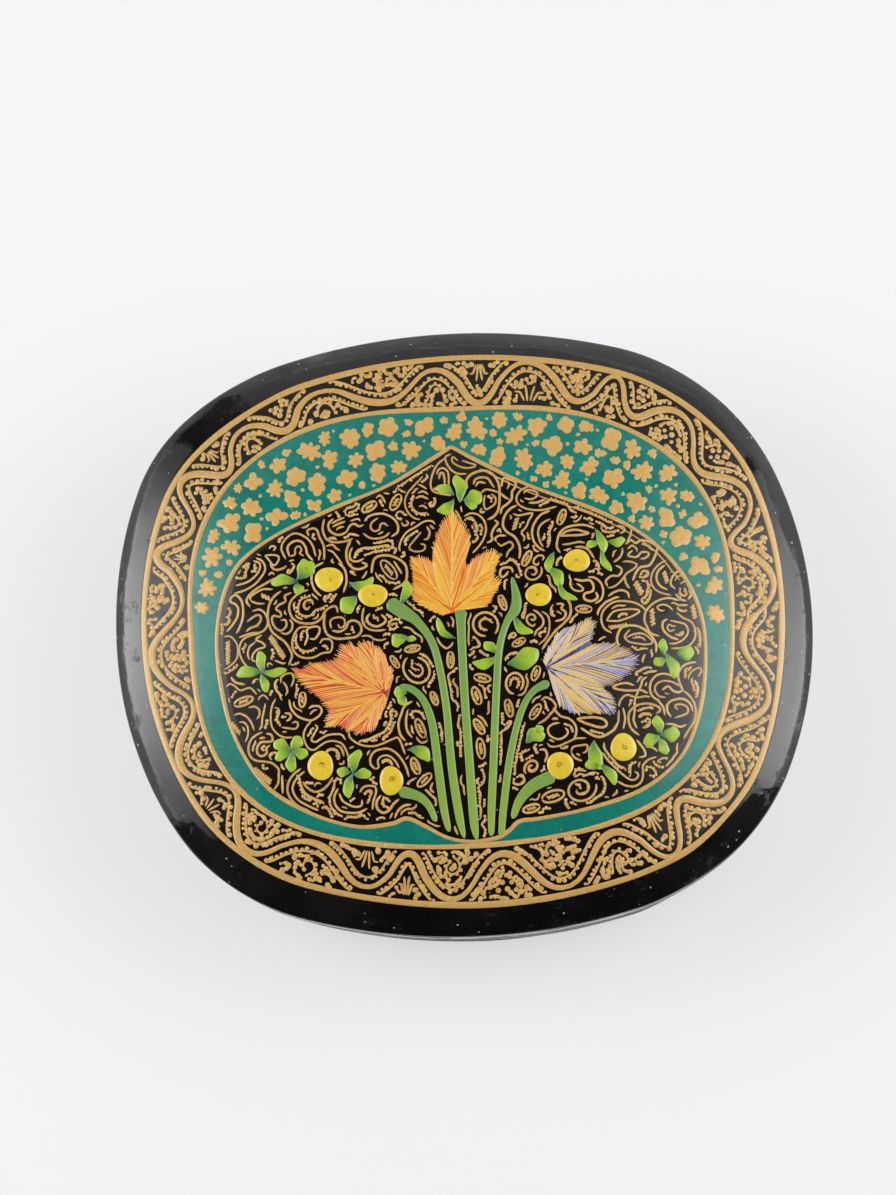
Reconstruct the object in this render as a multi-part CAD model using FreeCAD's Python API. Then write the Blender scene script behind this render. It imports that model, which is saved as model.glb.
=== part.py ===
"""Papier mache box with a lift-off lid, cushion-shaped in plan, in millimetres.

The box stands on z = 0 with its centre at x = y = 0. +Y is the back, +X is the right-hand side.
It is built the way the craft builds it: strips of layered paper make the two walls, pressed
pulp boards close them above and below, and a thinner strip glued inside the base locates the lid.
"""
import math
import os

import FreeCAD
import Part

# Outline seen from above: eight tangent arcs, two per side, each corner turning what the sides leave
box_width = 100.0
box_depth = 87.8
corner_radius = 33.5
side_arc_half_turn_deg = 22.3
front_arc_half_turn_deg = 15.5

# Base: a wall strip round a floor board
base_wall_height = 24.0
base_wall_thickness = 3.0
foot_edge_bevel = 1.0
floor_thickness = 3.0

# Collar: the strip inside the base that the lid slips over
collar_thickness = 1.6
collar_rise = 4.8
collar_glued_height = 9.0
collar_edge_bevel = 0.5

# Lid: a wall strip under a bevelled, slightly crowned board
lid_wall_height = 6.0
lid_running_clearance = 0.3
lid_board_lip = 0.8
bevel_width = 4.6
bevel_drop = 4.2
crown_rise = 1.1
crown_inset = 0.5

# Where lid and base meet, both painted edges are sanded off, which leaves a fine groove
seam_edge_bevel = 0.35

# The lid's bevel is sanded steep and round at its foot, and flatter up to the painted top
bevel_width_shares = (0.0, 0.05, 0.26, 0.42, 0.93, 1.0)
bevel_drop_shares = (0.0, 0.12, 0.42, 0.58, 0.96, 1.0)

# The crown is a parabola over the top, held by sections at these shares of the top's outline
crown_section_shares = (1.0, 0.8, 0.6, 0.4, 0.2)

# An edge lies on an outline when it is nearer to it than this
same_place = 0.001

# Heights at which the pieces meet
rim_height = base_wall_height
lid_board_height = rim_height + lid_wall_height
bevel_start_height = lid_board_height + lid_board_lip
top_height = bevel_start_height + bevel_drop


def arc(centre, radius, start_turn, end_turn):
    """An arc about centre between two directions, in radians from +X."""
    middle_turn = (start_turn + end_turn) / 2
    turns = (start_turn, middle_turn, end_turn)
    points = [centre + radius * FreeCAD.Vector(math.cos(t), math.sin(t), 0) for t in turns]
    return Part.Arc(*points).toShape()


def outline(inset, height, share=1.0):
    """The cushion outline drawn in by inset, shrunk about its centre to share, at a height."""
    side_turn = math.radians(side_arc_half_turn_deg)
    front_turn = math.radians(front_arc_half_turn_deg)
    reach_x = box_width / 2 - corner_radius
    reach_y = box_depth / 2 - corner_radius
    # How far each side arc's centre lies behind the corner arc's centre, from tangency at both ends
    divisor = math.sin(side_turn) * math.sin(front_turn)
    divisor -= (1 - math.cos(side_turn)) * (1 - math.cos(front_turn))
    side_throw = (reach_y * math.sin(front_turn) - reach_x * (1 - math.cos(front_turn))) / divisor
    front_throw = (reach_x * math.sin(side_turn) - reach_y * (1 - math.cos(side_turn))) / divisor
    side_centre_x = reach_x - side_throw
    front_centre_y = reach_y - front_throw
    corner_x = front_throw * math.sin(front_turn)
    corner_y = side_throw * math.sin(side_turn)
    side_radius = (side_throw + corner_radius - inset) * share
    front_radius = (front_throw + corner_radius - inset) * share
    round_radius = (corner_radius - inset) * share

    def centre(x, y):
        return FreeCAD.Vector(x * share, y * share, height)

    quarter = math.pi / 2
    edges = []
    for facing, across, along in ((0, 1, 1), (2 * quarter, -1, -1)):
        edges.append(arc(centre(across * side_centre_x, 0), side_radius,
                         facing - side_turn, facing + side_turn))
        edges.append(arc(centre(across * corner_x, along * corner_y), round_radius,
                         facing + side_turn, facing + quarter - front_turn))
        edges.append(arc(centre(0, along * front_centre_y), front_radius,
                         facing + quarter - front_turn, facing + quarter + front_turn))
        edges.append(arc(centre(-across * corner_x, along * corner_y), round_radius,
                         facing + quarter + front_turn, facing + 2 * quarter - side_turn))
    return Part.Wire(edges)


def slab(inset, bottom, top):
    """The outline drawn in by inset and raised from bottom to top."""
    return Part.Face(outline(inset, bottom)).extrude(FreeCAD.Vector(0, 0, top - bottom))


def ring(outer_inset, thickness, bottom, top):
    """A wall strip: its outer face lies outer_inset inside the outline."""
    return slab(outer_inset, bottom, top).cut(slab(outer_inset + thickness, bottom, top))


def rim_edges(solid, inset, height):
    """The edges of a solid that run along the outline drawn in by inset, at a height."""
    path = outline(inset, height)
    edges = []
    for edge in solid.Edges:
        middle = edge.valueAt((edge.FirstParameter + edge.LastParameter) / 2)
        if path.distToShape(Part.Vertex(middle))[0] < same_place:
            edges.append(edge)
    return edges


def make_floor_board():
    """The board glued inside the foot of the base wall."""
    return slab(base_wall_thickness, 0, floor_thickness)


def make_base_wall():
    """The strip that is the side of the base, with its outer edges sanded off at foot and rim."""
    wall = ring(0, base_wall_thickness, 0, rim_height)
    wall = wall.makeChamfer(foot_edge_bevel, rim_edges(wall, 0, 0))
    return wall.makeChamfer(seam_edge_bevel, rim_edges(wall, 0, rim_height))


def make_inner_collar():
    """The locating strip, glued to the inside of the base wall and standing above its rim."""
    bottom = rim_height - collar_glued_height
    top = rim_height + collar_rise
    collar = ring(base_wall_thickness, collar_thickness, bottom, top)
    edges = rim_edges(collar, base_wall_thickness, top)
    edges += rim_edges(collar, base_wall_thickness + collar_thickness, top)
    return collar.makeChamfer(collar_edge_bevel, edges)


def make_lid_wall():
    """The strip that is the side of the lid, thinner than the base wall by the running clearance."""
    wall = ring(0, base_wall_thickness - lid_running_clearance, rim_height, lid_board_height)
    return wall.makeChamfer(seam_edge_bevel, rim_edges(wall, 0, rim_height))


def make_lid_board():
    """The top board: an upright lip, a bevel sanded round, and a low crown."""
    sections = [outline(0, lid_board_height)]
    for width_share, drop_share in zip(bevel_width_shares, bevel_drop_shares):
        height = bevel_start_height + bevel_drop * drop_share
        sections.append(outline(bevel_width * width_share, height))
    board = Part.makeLoft(sections, True, True)
    crown_sections = []
    for share in crown_section_shares:
        rise = crown_rise * (1 - share ** 2)
        crown_sections.append(outline(bevel_width + crown_inset, top_height + rise, share))
    crown = Part.makeLoft(crown_sections, True, False)
    return board.fuse(crown).removeSplitter()


makers = {
    "floor_board": make_floor_board,
    "base_wall": make_base_wall,
    "inner_collar": make_inner_collar,
    "lid_wall": make_lid_wall,
    "lid_board": make_lid_board,
}
os.makedirs("parts", exist_ok=True)
for name, make in makers.items():
    piece = make()
    piece.exportStep(os.path.join("parts", name + ".step"))
    box = piece.BoundBox
    print(f"{name}: {len(piece.Solids)} solid, {piece.Volume:.0f} mm3, valid {piece.isValid()}, "
          f"{box.XLength:.2f} x {box.YLength:.2f} x {box.ZLength:.2f}, z from {box.ZMin:.2f}")
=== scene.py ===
import bpy
import numpy as np
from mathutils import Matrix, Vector


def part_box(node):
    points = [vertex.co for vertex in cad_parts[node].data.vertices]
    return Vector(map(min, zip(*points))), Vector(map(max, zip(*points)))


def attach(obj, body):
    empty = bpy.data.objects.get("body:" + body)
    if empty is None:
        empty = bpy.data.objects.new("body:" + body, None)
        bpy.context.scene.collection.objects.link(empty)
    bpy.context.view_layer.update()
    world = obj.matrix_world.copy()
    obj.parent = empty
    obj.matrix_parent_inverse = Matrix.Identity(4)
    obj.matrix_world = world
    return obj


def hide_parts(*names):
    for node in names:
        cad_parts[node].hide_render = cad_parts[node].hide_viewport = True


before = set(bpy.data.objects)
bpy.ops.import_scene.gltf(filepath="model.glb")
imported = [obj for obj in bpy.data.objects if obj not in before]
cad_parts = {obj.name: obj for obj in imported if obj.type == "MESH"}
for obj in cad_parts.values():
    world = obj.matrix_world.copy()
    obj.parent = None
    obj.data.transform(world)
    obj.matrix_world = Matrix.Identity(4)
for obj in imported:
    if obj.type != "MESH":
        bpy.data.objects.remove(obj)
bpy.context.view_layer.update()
mm = 0.001

# Base wall
# The side of the box is a strip of layered paper pulp, built up round a mould, sanded and painted
# black. The floor board is glued inside its foot, and the lid's wall stands on its sanded rim.
wall_low, wall_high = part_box("base_wall")
box_width = wall_high.x - wall_low.x
box_depth = wall_high.y - wall_low.y
wall_thickness = 3.0 * mm
corner_radius = 33.5 * mm
side_half_turn = np.radians(22.3)
front_half_turn = np.radians(15.5)
foot_round = 1.6 * mm
seam_round = 0.4 * mm
mould_draft = 0.54 * mm
lid_lean = 0.06 * mm
lid_lean_share = 0.28
sanding_depth = 0.03 * mm
smooth_up_to = np.radians(50)


def full_turn(count):
    """Directions once round, evenly spaced, in radians."""
    return np.linspace(0, 2 * np.pi, count, endpoint=False)


turns_round = full_turn(384)


def bump(turn, middle, spread):
    """A rise of 1 where turn is middle, fading as a bell over spread, with both in degrees."""
    away = (np.degrees(turn) - middle + 180) % 360 - 180
    return np.exp(-0.5 * (away / spread) ** 2)


def hand_swell(turn):
    """How far the hand-made outline bulges past the drawn one, where it faces the direction turn."""
    swell = 1.4 * bump(turn, 149, 17) - 0.3 * bump(turn, 207, 9)
    return (swell - 0.25 * bump(turn, 298, 8) + 0.12 * bump(turn, 72, 8)) * mm


def outline(turn, inset=0.0):
    """Points of the cushion outline where it faces the directions turn, drawn in by inset.

    Eight tangent arcs follow one another. A point is the centre of its arc, plus the arc's radius
    less the inset along the facing direction, plus the swell that the hand has left.
    """
    reach_x = box_width / 2 - corner_radius
    reach_y = box_depth / 2 - corner_radius
    divisor = np.sin(side_half_turn) * np.sin(front_half_turn)
    divisor -= (1 - np.cos(side_half_turn)) * (1 - np.cos(front_half_turn))
    side_throw = reach_y * np.sin(front_half_turn) - reach_x * (1 - np.cos(front_half_turn))
    front_throw = reach_x * np.sin(side_half_turn) - reach_y * (1 - np.cos(side_half_turn))
    side_throw, front_throw = side_throw / divisor, front_throw / divisor
    quarter = np.arctan2(np.abs(np.sin(turn)), np.abs(np.cos(turn)))
    on_side = quarter < side_half_turn
    on_front = quarter > np.pi / 2 - front_half_turn
    corner_x = front_throw * np.sin(front_half_turn)
    corner_y = side_throw * np.sin(side_half_turn)
    centre_x = np.select([on_side, on_front], [reach_x - side_throw, 0], corner_x)
    centre_y = np.select([on_side, on_front], [0, reach_y - front_throw], corner_y)
    radius = np.select([on_side, on_front], [side_throw, front_throw], 0) + corner_radius
    radius = radius - inset + hand_swell(turn)
    x = np.sign(np.cos(turn)) * centre_x + radius * np.cos(turn)
    y = np.sign(np.sin(turn)) * centre_y + radius * np.sin(turn)
    return x, y


def rounded(corners, steps=5, longest=2.0 * mm):
    """A closed profile through corners given as inset, height and radius.

    Each corner is the quadratic curve from one radius before it to one radius after it, and the
    straight stretches between are divided into lengths of at most longest.
    """
    corners = np.asarray(corners, float)
    places, radii = corners[:, :2], corners[:, 2:]
    before = np.roll(places, 1, 0) - places
    after = np.roll(places, -1, 0) - places
    start = places + before / np.linalg.norm(before, axis=1, keepdims=True) * radii
    end = places + after / np.linalg.norm(after, axis=1, keepdims=True) * radii
    t = np.linspace(0, 1, steps)[:, None]
    points = []
    for a, c, b, following in zip(start, places, end, np.roll(start, -1, 0)):
        points.append((1 - t) ** 2 * a + 2 * t * (1 - t) * c + t ** 2 * b)
        parts = int(np.ceil(np.linalg.norm(following - b) / longest))
        share = np.arange(1, parts)[:, None] / max(parts, 1)
        points.append(b + (following - b) * share)
    return np.vstack(points)


ripple_rng = np.random.default_rng(11)
ripple_ways = ripple_rng.normal(size=(16, 3))
ripple_ways /= np.linalg.norm(ripple_ways, axis=1, keepdims=True)
ripple_lengths = ripple_rng.uniform(7, 24, 16) * mm
ripple_starts = ripple_rng.uniform(0, 2 * np.pi, 16)


def ripple(x, y, z=0.0):
    """The sanded surface's slow unevenness, about -1 to 1: sixteen sine waves on their own ways."""
    total = 0.0
    for way, length, start in zip(ripple_ways, ripple_lengths, ripple_starts):
        total = total + np.sin(2 * np.pi * (x * way[0] + y * way[1] + z * way[2]) / length + start)
    return total / 4


def new_piece(name, vertices, faces, material, body, values=None):
    """Makes an object from vertices and arrays of faces, and rides it on its body."""
    mesh = bpy.data.meshes.new(name)
    mesh.vertices.add(len(vertices))
    mesh.vertices.foreach_set("co", np.asarray(vertices, np.float32).ravel())
    corners = np.concatenate([part.ravel() for part in faces])
    sizes = np.concatenate([np.full(len(part), part.shape[1]) for part in faces])
    mesh.loops.add(len(corners))
    mesh.loops.foreach_set("vertex_index", corners.astype(np.int32))
    mesh.polygons.add(len(sizes))
    mesh.polygons.foreach_set("loop_start", (np.cumsum(sizes) - sizes).astype(np.int32))
    mesh.update(calc_edges=True)
    mesh.shade_smooth()
    mesh.set_sharp_from_angle(angle=smooth_up_to)
    for key, value in (values or {}).items():
        mesh.attributes.new(key, "FLOAT", "POINT").data.foreach_set("value", np.asarray(value, np.float32))
    mesh.materials.append(material)
    piece = bpy.data.objects.new(name, mesh)
    bpy.context.scene.collection.objects.link(piece)
    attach(piece, body)
    return piece


def ring_faces(across, along, closed_across=True):
    """Four-sided faces of a grid that runs along vertices of a loop, each with across vertices."""
    i = np.arange(along)[:, None]
    j = np.arange(across if closed_across else across - 1)[None]
    next_i, next_j = (i + 1) % along, (j + 1) % across
    corners = [i * across + j, next_i * across + j, next_i * across + next_j, i * across + next_j]
    return np.stack([np.broadcast_to(c, (along, j.size)) for c in corners], -1).reshape(-1, 4)


def draft(height):
    """How far the walls lie inside the outline at a height.

    The mould narrows evenly from the rim down to the foot, and the lid's side leans in towards its
    board as the square of its height over the rim.
    """
    above = np.clip((height - wall_high.z) / (lid_lean_share * wall_high.z), 0, 1)
    return mould_draft * np.clip(1 - height / wall_high.z, 0, 1) + lid_lean * above ** 2


def wall_strip(name, profile, material, body):
    """A wall: its profile of inset and height is carried round the outline."""
    inset, height = profile[:, 0], profile[:, 1]
    turn = turns_round[:, None]
    x, y = outline(turn, (inset + draft(height))[None])
    z = np.broadcast_to(height[None], x.shape)
    shift = sanding_depth * ripple(x, y, z)
    x, y = x + shift * np.cos(turn), y + shift * np.sin(turn)
    faces = ring_faces(len(profile), len(turns_round))
    return new_piece(name, np.stack([x, y, z], -1).reshape(-1, 3), [faces], material, body)


def add(tree, kind, inputs=(), **settings):
    """Adds a node to tree, with its settings, and fills or links its inputs."""
    made = tree.nodes.new(kind)
    for key, value in settings.items():
        setattr(made, key, value)
    for key, value in dict(inputs).items():
        if isinstance(value, bpy.types.NodeSocket):
            tree.links.new(value, made.inputs[key])
        else:
            made.inputs[key].default_value = value
    return made


def math(tree, operation, *values, clamp=False):
    """The output of a Math node."""
    inputs = dict(enumerate(values))
    return add(tree, "ShaderNodeMath", inputs, operation=operation, use_clamp=clamp).outputs[0]


def span(tree, value, low, high, new_low=0.0, new_high=1.0):
    """value, stretched smoothly from the span low to high onto the span new_low to new_high."""
    inputs = {0: value, 1: low, 2: high, 3: new_low, 4: new_high}
    return add(tree, "ShaderNodeMapRange", inputs, interpolation_type="SMOOTHSTEP").outputs[0]


def mixed(tree, share, first, second):
    """The colour that lies at share between two colours."""
    made = add(tree, "ShaderNodeMix", {0: share, 6: first, 7: second}, data_type="RGBA")
    return made.outputs[2]


def noise(tree, place, scale, detail=2.0, roughness=0.5):
    """Soft noise about 0.5 in value, with scale features to a unit of place."""
    inputs = {"Vector": place, "Scale": scale, "Detail": detail, "Roughness": roughness}
    return add(tree, "ShaderNodeTexNoise", inputs).outputs[0]


def in_millimetres(tree, place):
    """A place that is given in metres, in millimetres."""
    return add(tree, "ShaderNodeVectorMath", {0: place, 3: 1 / mm}, operation="SCALE").outputs[0]


def specks(tree, place, scale, channel, least, largest):
    """A mask of round specks, at most one to a cell, with scale cells to a unit of place.

    One channel of a cell's random colour gives the size: none up to least, and then up to largest.
    """
    cells = add(tree, "ShaderNodeTexVoronoi", {"Vector": place, "Scale": scale}).outputs
    size = add(tree, "ShaderNodeSeparateColor", {0: cells["Color"]}).outputs[channel]
    edge = math(tree, "MULTIPLY", span(tree, size, least, 1.0), largest)
    return math(tree, "LESS_THAN", cells["Distance"], edge)


def colour(red, green, blue):
    """A colour written as it looks on a screen, 0 to 255, as the shader's linear values."""
    levels = np.array([red, green, blue]) / 255
    linear = np.where(levels <= 0.04045, levels / 12.92, ((levels + 0.055) / 1.055) ** 2.4)
    return (*linear.tolist(), 1.0)


def new_group(name, inputs, outputs):
    """An empty shader node group with number or vector inputs and number outputs."""
    group = bpy.data.node_groups.new(name, "ShaderNodeTree")
    for key, kind in inputs:
        group.interface.new_socket(name=key, in_out="INPUT", socket_type=kind)
    for key in outputs:
        group.interface.new_socket(name=key, in_out="OUTPUT", socket_type="NodeSocketFloat")
    return group, group.nodes.new("NodeGroupInput"), group.nodes.new("NodeGroupOutput")


def make_lacquer_film():
    """Old lacquer: soft unevenness, rubbed patches, small pits and dust caught in the film."""
    inputs = [("Place", "NodeSocketVector"), ("Rubbed", "NodeSocketFloat"), ("Dusty", "NodeSocketFloat")]
    group, given, result = new_group("lacquer_film", inputs, ["Dull", "Height", "Dust", "Cloud"])
    place = in_millimetres(group, given.outputs["Place"])
    cloud = noise(group, place, 0.13, 3)
    rubbed = span(group, noise(group, place, 0.3, 5, 0.65), 0.55, 0.68)
    rubbed = math(group, "MULTIPLY", rubbed, given.outputs["Rubbed"])
    pits = specks(group, place, 0.42, 0, least=0.5, largest=0.24)
    dust = specks(group, place, 0.95, 1, least=0.66, largest=0.15)
    dust = math(group, "MULTIPLY", dust, given.outputs["Dusty"])
    dull = math(group, "MULTIPLY", rubbed, 0.8)
    dull = math(group, "MULTIPLY_ADD", dust, 0.8, dull, clamp=True)
    height = math(group, "MULTIPLY", noise(group, place, 7.0, 2), 0.05)
    height = math(group, "ADD", noise(group, place, 0.5, 2), height)
    height = math(group, "SUBTRACT", height, math(group, "MULTIPLY", pits, 1.2))
    height = math(group, "ADD", height, math(group, "MULTIPLY", dust, 0.6))
    for key, value in (("Dull", dull), ("Height", height), ("Dust", dust), ("Cloud", cloud)):
        group.links.new(value, result.inputs[key])
    return group


def make_edge_wear():
    """Lacquer rubbed through along an edge at one height: a mask, ragged over its reach."""
    inputs = [("Place", "NodeSocketVector"), ("Edge", "NodeSocketFloat"), ("Reach", "NodeSocketFloat")]
    group, given, result = new_group("edge_wear", inputs, ["Wear"])
    height = add(group, "ShaderNodeSeparateXYZ", {0: given.outputs["Place"]}).outputs[2]
    away = math(group, "ABSOLUTE", math(group, "SUBTRACT", height, given.outputs["Edge"]))
    near = math(group, "SUBTRACT", 1.0, math(group, "DIVIDE", away, given.outputs["Reach"]), clamp=True)
    ragged = noise(group, in_millimetres(group, given.outputs["Place"]), 0.5, 4)
    ragged = math(group, "MULTIPLY_ADD", near, 0.7, math(group, "MULTIPLY", ragged, 0.5))
    group.links.new(span(group, ragged, 0.89, 1.08), result.inputs["Wear"])
    return group


lacquer_film = make_lacquer_film()
edge_wear = make_edge_wear()
pulp_brown = colour(88, 68, 50)
wear_reach = 0.9 * mm


def new_material(name):
    """A new material, its node tree and its main shader."""
    material = bpy.data.materials.new(name)
    material.use_nodes = True
    return material, material.node_tree, material.node_tree.nodes["Principled BSDF"]


def use_group(tree, group, **inputs):
    """The outputs of a node group whose inputs are filled or linked."""
    return add(tree, "ShaderNodeGroup", inputs, node_tree=group).outputs


def dress_shader(tree, shader, tint, roughness, height, depth, strength):
    """Links a shader's colour and roughness, and a relief of the given depth."""
    tree.links.new(tint, shader.inputs["Base Color"])
    tree.links.new(roughness, shader.inputs["Roughness"])
    relief = add(tree, "ShaderNodeBump", {"Height": height, "Distance": depth, "Strength": strength})
    tree.links.new(relief.outputs[0], shader.inputs["Normal"])


def lacquer(name, dark, light, gloss, rubbed, worn_edge, shine=0.5, dull_foot=0.0):
    """Black lacquer over pulp: dark and light are its cloudy ground, and worn_edge is a height.

    It is duller by dull_foot where the box stands, and less so up to the middle of its wall.
    """
    material, tree, shader = new_material(name)
    place = add(tree, "ShaderNodeTexCoord").outputs["Object"]
    film = use_group(tree, lacquer_film, Place=place, Rubbed=rubbed, Dusty=1.0)
    wear = use_group(tree, edge_wear, Place=place, Edge=worn_edge, Reach=wear_reach)["Wear"]
    ground = mixed(tree, span(tree, film["Cloud"], 0.35, 0.7), colour(*dark), colour(*light))
    ground = mixed(tree, wear, ground, pulp_brown)
    ground = mixed(tree, math(tree, "MULTIPLY", film["Dust"], 0.55), ground, colour(190, 190, 188))
    rise = add(tree, "ShaderNodeSeparateXYZ", {0: place}).outputs[2]
    gloss = span(tree, rise, 4 * mm, 20 * mm, gloss + dull_foot, gloss)
    roughness = math(tree, "MULTIPLY_ADD", math(tree, "MAXIMUM", film["Dull"], wear), 0.5, gloss)
    shader.inputs["Specular IOR Level"].default_value = shine
    dress_shader(tree, shader, ground, roughness, film["Height"], 0.02 * mm, 1.0)
    return material


rim_height = wall_high.z
base_lacquer = lacquer("base_lacquer", (8, 7, 7), (22, 18, 16), gloss=0.16, rubbed=0.8,
                       worn_edge=rim_height, shine=0.3, dull_foot=0.4)
base_profile = rounded([
    (0, 0, foot_round),
    (wall_thickness, 0, 0.1 * mm),
    (wall_thickness, rim_height, 0.1 * mm),
    (0, rim_height, seam_round),
])
base_wall = wall_strip("base_side", base_profile, base_lacquer, "base")
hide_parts("base_wall")

# Floor board
# A flat board of pressed pulp closes the base. It is glued inside the wall's foot and lacquered
# with it.
floor_low, floor_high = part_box("floor_board")
floor_profile_shares = np.array([0.0, 0.25, 0.5, 0.75, 1.0])


def board(name, edge_inset, rings, material, body):
    """A closed board: rings of inset, share and height from the middle below to the middle above.

    The first and the last ring have a share of zero, so each is one point that closes the board.
    """
    inset, share, height = np.asarray(rings, float).T
    turn = turns_round[:, None]
    x, y = outline(turn, (edge_inset + inset + draft(height))[None])
    x, y = x * share, y * share
    z = np.broadcast_to(height[None], x.shape)
    z = z + sanding_depth * ripple(x, y, z) * (height > height.mean())
    return closed_disc(name, np.stack([x, y, z], -1), material, body)


def closed_disc(name, grid, material, body):
    """An object from a grid of loops, turns by rings, whose first and last rings are single points."""
    turns, rings = grid.shape[:2]
    inner = grid[:, 1:-1]
    vertices = np.vstack([inner.reshape(-1, 3), grid[:, 0].mean(0), grid[:, -1].mean(0)])
    quads = ring_faces(rings - 2, turns, closed_across=False)
    i = np.arange(turns)
    next_i = (i + 1) % turns
    low, high = len(vertices) - 2, len(vertices) - 1
    start = np.stack([np.full(turns, low), next_i * (rings - 2), i * (rings - 2)], -1)
    last = rings - 3
    end = np.stack([np.full(turns, high), i * (rings - 2) + last, next_i * (rings - 2) + last], -1)
    return new_piece(name, vertices, [quads, start, end], material, body)


floor_edge = 0.15 * mm
floor_rings = [(0, share, floor_low.z) for share in floor_profile_shares[:-1]]
floor_rings += [(floor_edge, 1, floor_low.z), (0, 1, floor_low.z + floor_edge)]
floor_rings += [(0, 1, floor_high.z - floor_edge), (floor_edge, 1, floor_high.z)]
floor_rings += [(0, share, floor_high.z) for share in floor_profile_shares[-2::-1]]
no_edge = -1.0
inner_lacquer = lacquer("inner_lacquer", (10, 8, 8), (26, 20, 17), gloss=0.26, rubbed=1.0,
                        worn_edge=no_edge)
floor_board = board("floor", wall_thickness, floor_rings, inner_lacquer, "base")
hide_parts("floor_board")

# Collar
# A thinner strip of the same pulp is glued inside the base wall and stands a few millimetres above
# its rim. The lid slips over it, so its top edge is rounded, and rubbed through to the brown pulp.
collar_low, collar_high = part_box("inner_collar")
collar_thickness = 1.6 * mm
collar_round = 0.6 * mm
collar_lacquer = lacquer("collar_lacquer", (10, 8, 8), (30, 22, 18), gloss=0.22, rubbed=1.0,
                         worn_edge=collar_high.z)
collar_profile = rounded([
    (wall_thickness, collar_low.z, 0.1 * mm),
    (wall_thickness + collar_thickness, collar_low.z, 0.5 * mm),
    (wall_thickness + collar_thickness, collar_high.z, collar_round),
    (wall_thickness, collar_high.z, collar_round),
])
collar = wall_strip("collar", collar_profile, collar_lacquer, "base")
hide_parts("inner_collar")

# Lid wall
# The lid's side is a low strip, thinner than the base wall by the slip that it needs over the
# collar. It is glued under the lid board, and its lower edge is sanded to meet the base's rim.
lid_wall_low, lid_wall_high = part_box("lid_wall")
slip = 0.3 * mm
lid_lacquer = lacquer("lid_lacquer", (6, 6, 7), (20, 17, 16), gloss=0.075, rubbed=1.0,
                      worn_edge=lid_wall_low.z)
lid_wall_profile = rounded([
    (0, lid_wall_low.z, seam_round),
    (wall_thickness - slip, lid_wall_low.z, 0.2 * mm),
    (wall_thickness - slip, lid_wall_high.z, 0.05 * mm),
    (0, lid_wall_high.z, 0.05 * mm),
])
lid_wall = wall_strip("lid_side", lid_wall_profile, lid_lacquer, "lid")
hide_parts("lid_wall")

# Lid board
# The top is a thick pulp board, glued on the lid's wall. It is sanded to a broad bevel, upright at
# its foot and flatter towards the painted top, which is slightly crowned. All of it is lacquered.
board_low, board_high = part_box("lid_board")
crown_rise = 1.1 * mm
top_height = board_high.z - crown_rise
lip_height = 1.25 * mm
lip_round = 0.12 * mm
bevel_sanding = 0.07 * mm
top_sanding = 0.012 * mm
edge_drop, edge_reach = 0.07 * mm, 0.3 * mm
top_turns = full_turn(640)
chip_turn, chip_size, chip_depth = 103.0, 0.5, 0.35 * mm
bevel_mean = 4.2 * mm
bevel_swells = (
    (1.1 * mm, 132, 19), (-0.5 * mm, 24, 12), (0.25 * mm, 354, 7), (0.2 * mm, 236, 16),
    (-0.35 * mm, 275, 9), (-0.45 * mm, 301, 8), (-0.2 * mm, 329, 9),
)


def bevel_width(turn):
    """The bevel's width as the hand has left it: a mean, and swells at their own directions."""
    return bevel_mean + sum(height * bump(turn, middle, spread) for height, middle, spread in bevel_swells)


def polar(loop):
    """The angles of a loop's points, in rising order, and how far out each of them lies."""
    angle = np.arctan2(loop[:, 1], loop[:, 0])
    order = np.argsort(angle)
    return angle[order], np.hypot(*loop[order].T)


top_rim = polar(np.stack(outline(top_turns, bevel_width(top_turns)), -1))


def radius_at(x, y, loop):
    """How far out a loop, given by its angles and radii, lies in the direction of each point."""
    return np.interp(np.arctan2(y, x), *loop, period=2 * np.pi)


def lid_top(x, y):
    """Height of the lid's painted top: a parabola over its rim, eased down close to the bevel."""
    rim = radius_at(x, y, top_rim)
    share = np.hypot(x, y) / rim
    inside = np.clip(1 - share, 0, 1) * rim
    eased = edge_drop * np.exp(-inside / edge_reach)
    return top_height + crown_rise * (1 - share ** 2) - eased + top_sanding * ripple(x, y)


def bevel_curve(share):
    """Width and drop shares of the bevel: a cubic that leaves the lip steeply and ends flatter."""
    controls = np.array([(0, 0), (0.27, 0.34), (0.57, 0.67), (1, 1)])
    t = np.asarray(share)[:, None]
    weights = np.hstack([(1 - t) ** 3, 3 * t * (1 - t) ** 2, 3 * t ** 2 * (1 - t), t ** 3])
    return (weights @ controls).T


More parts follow.
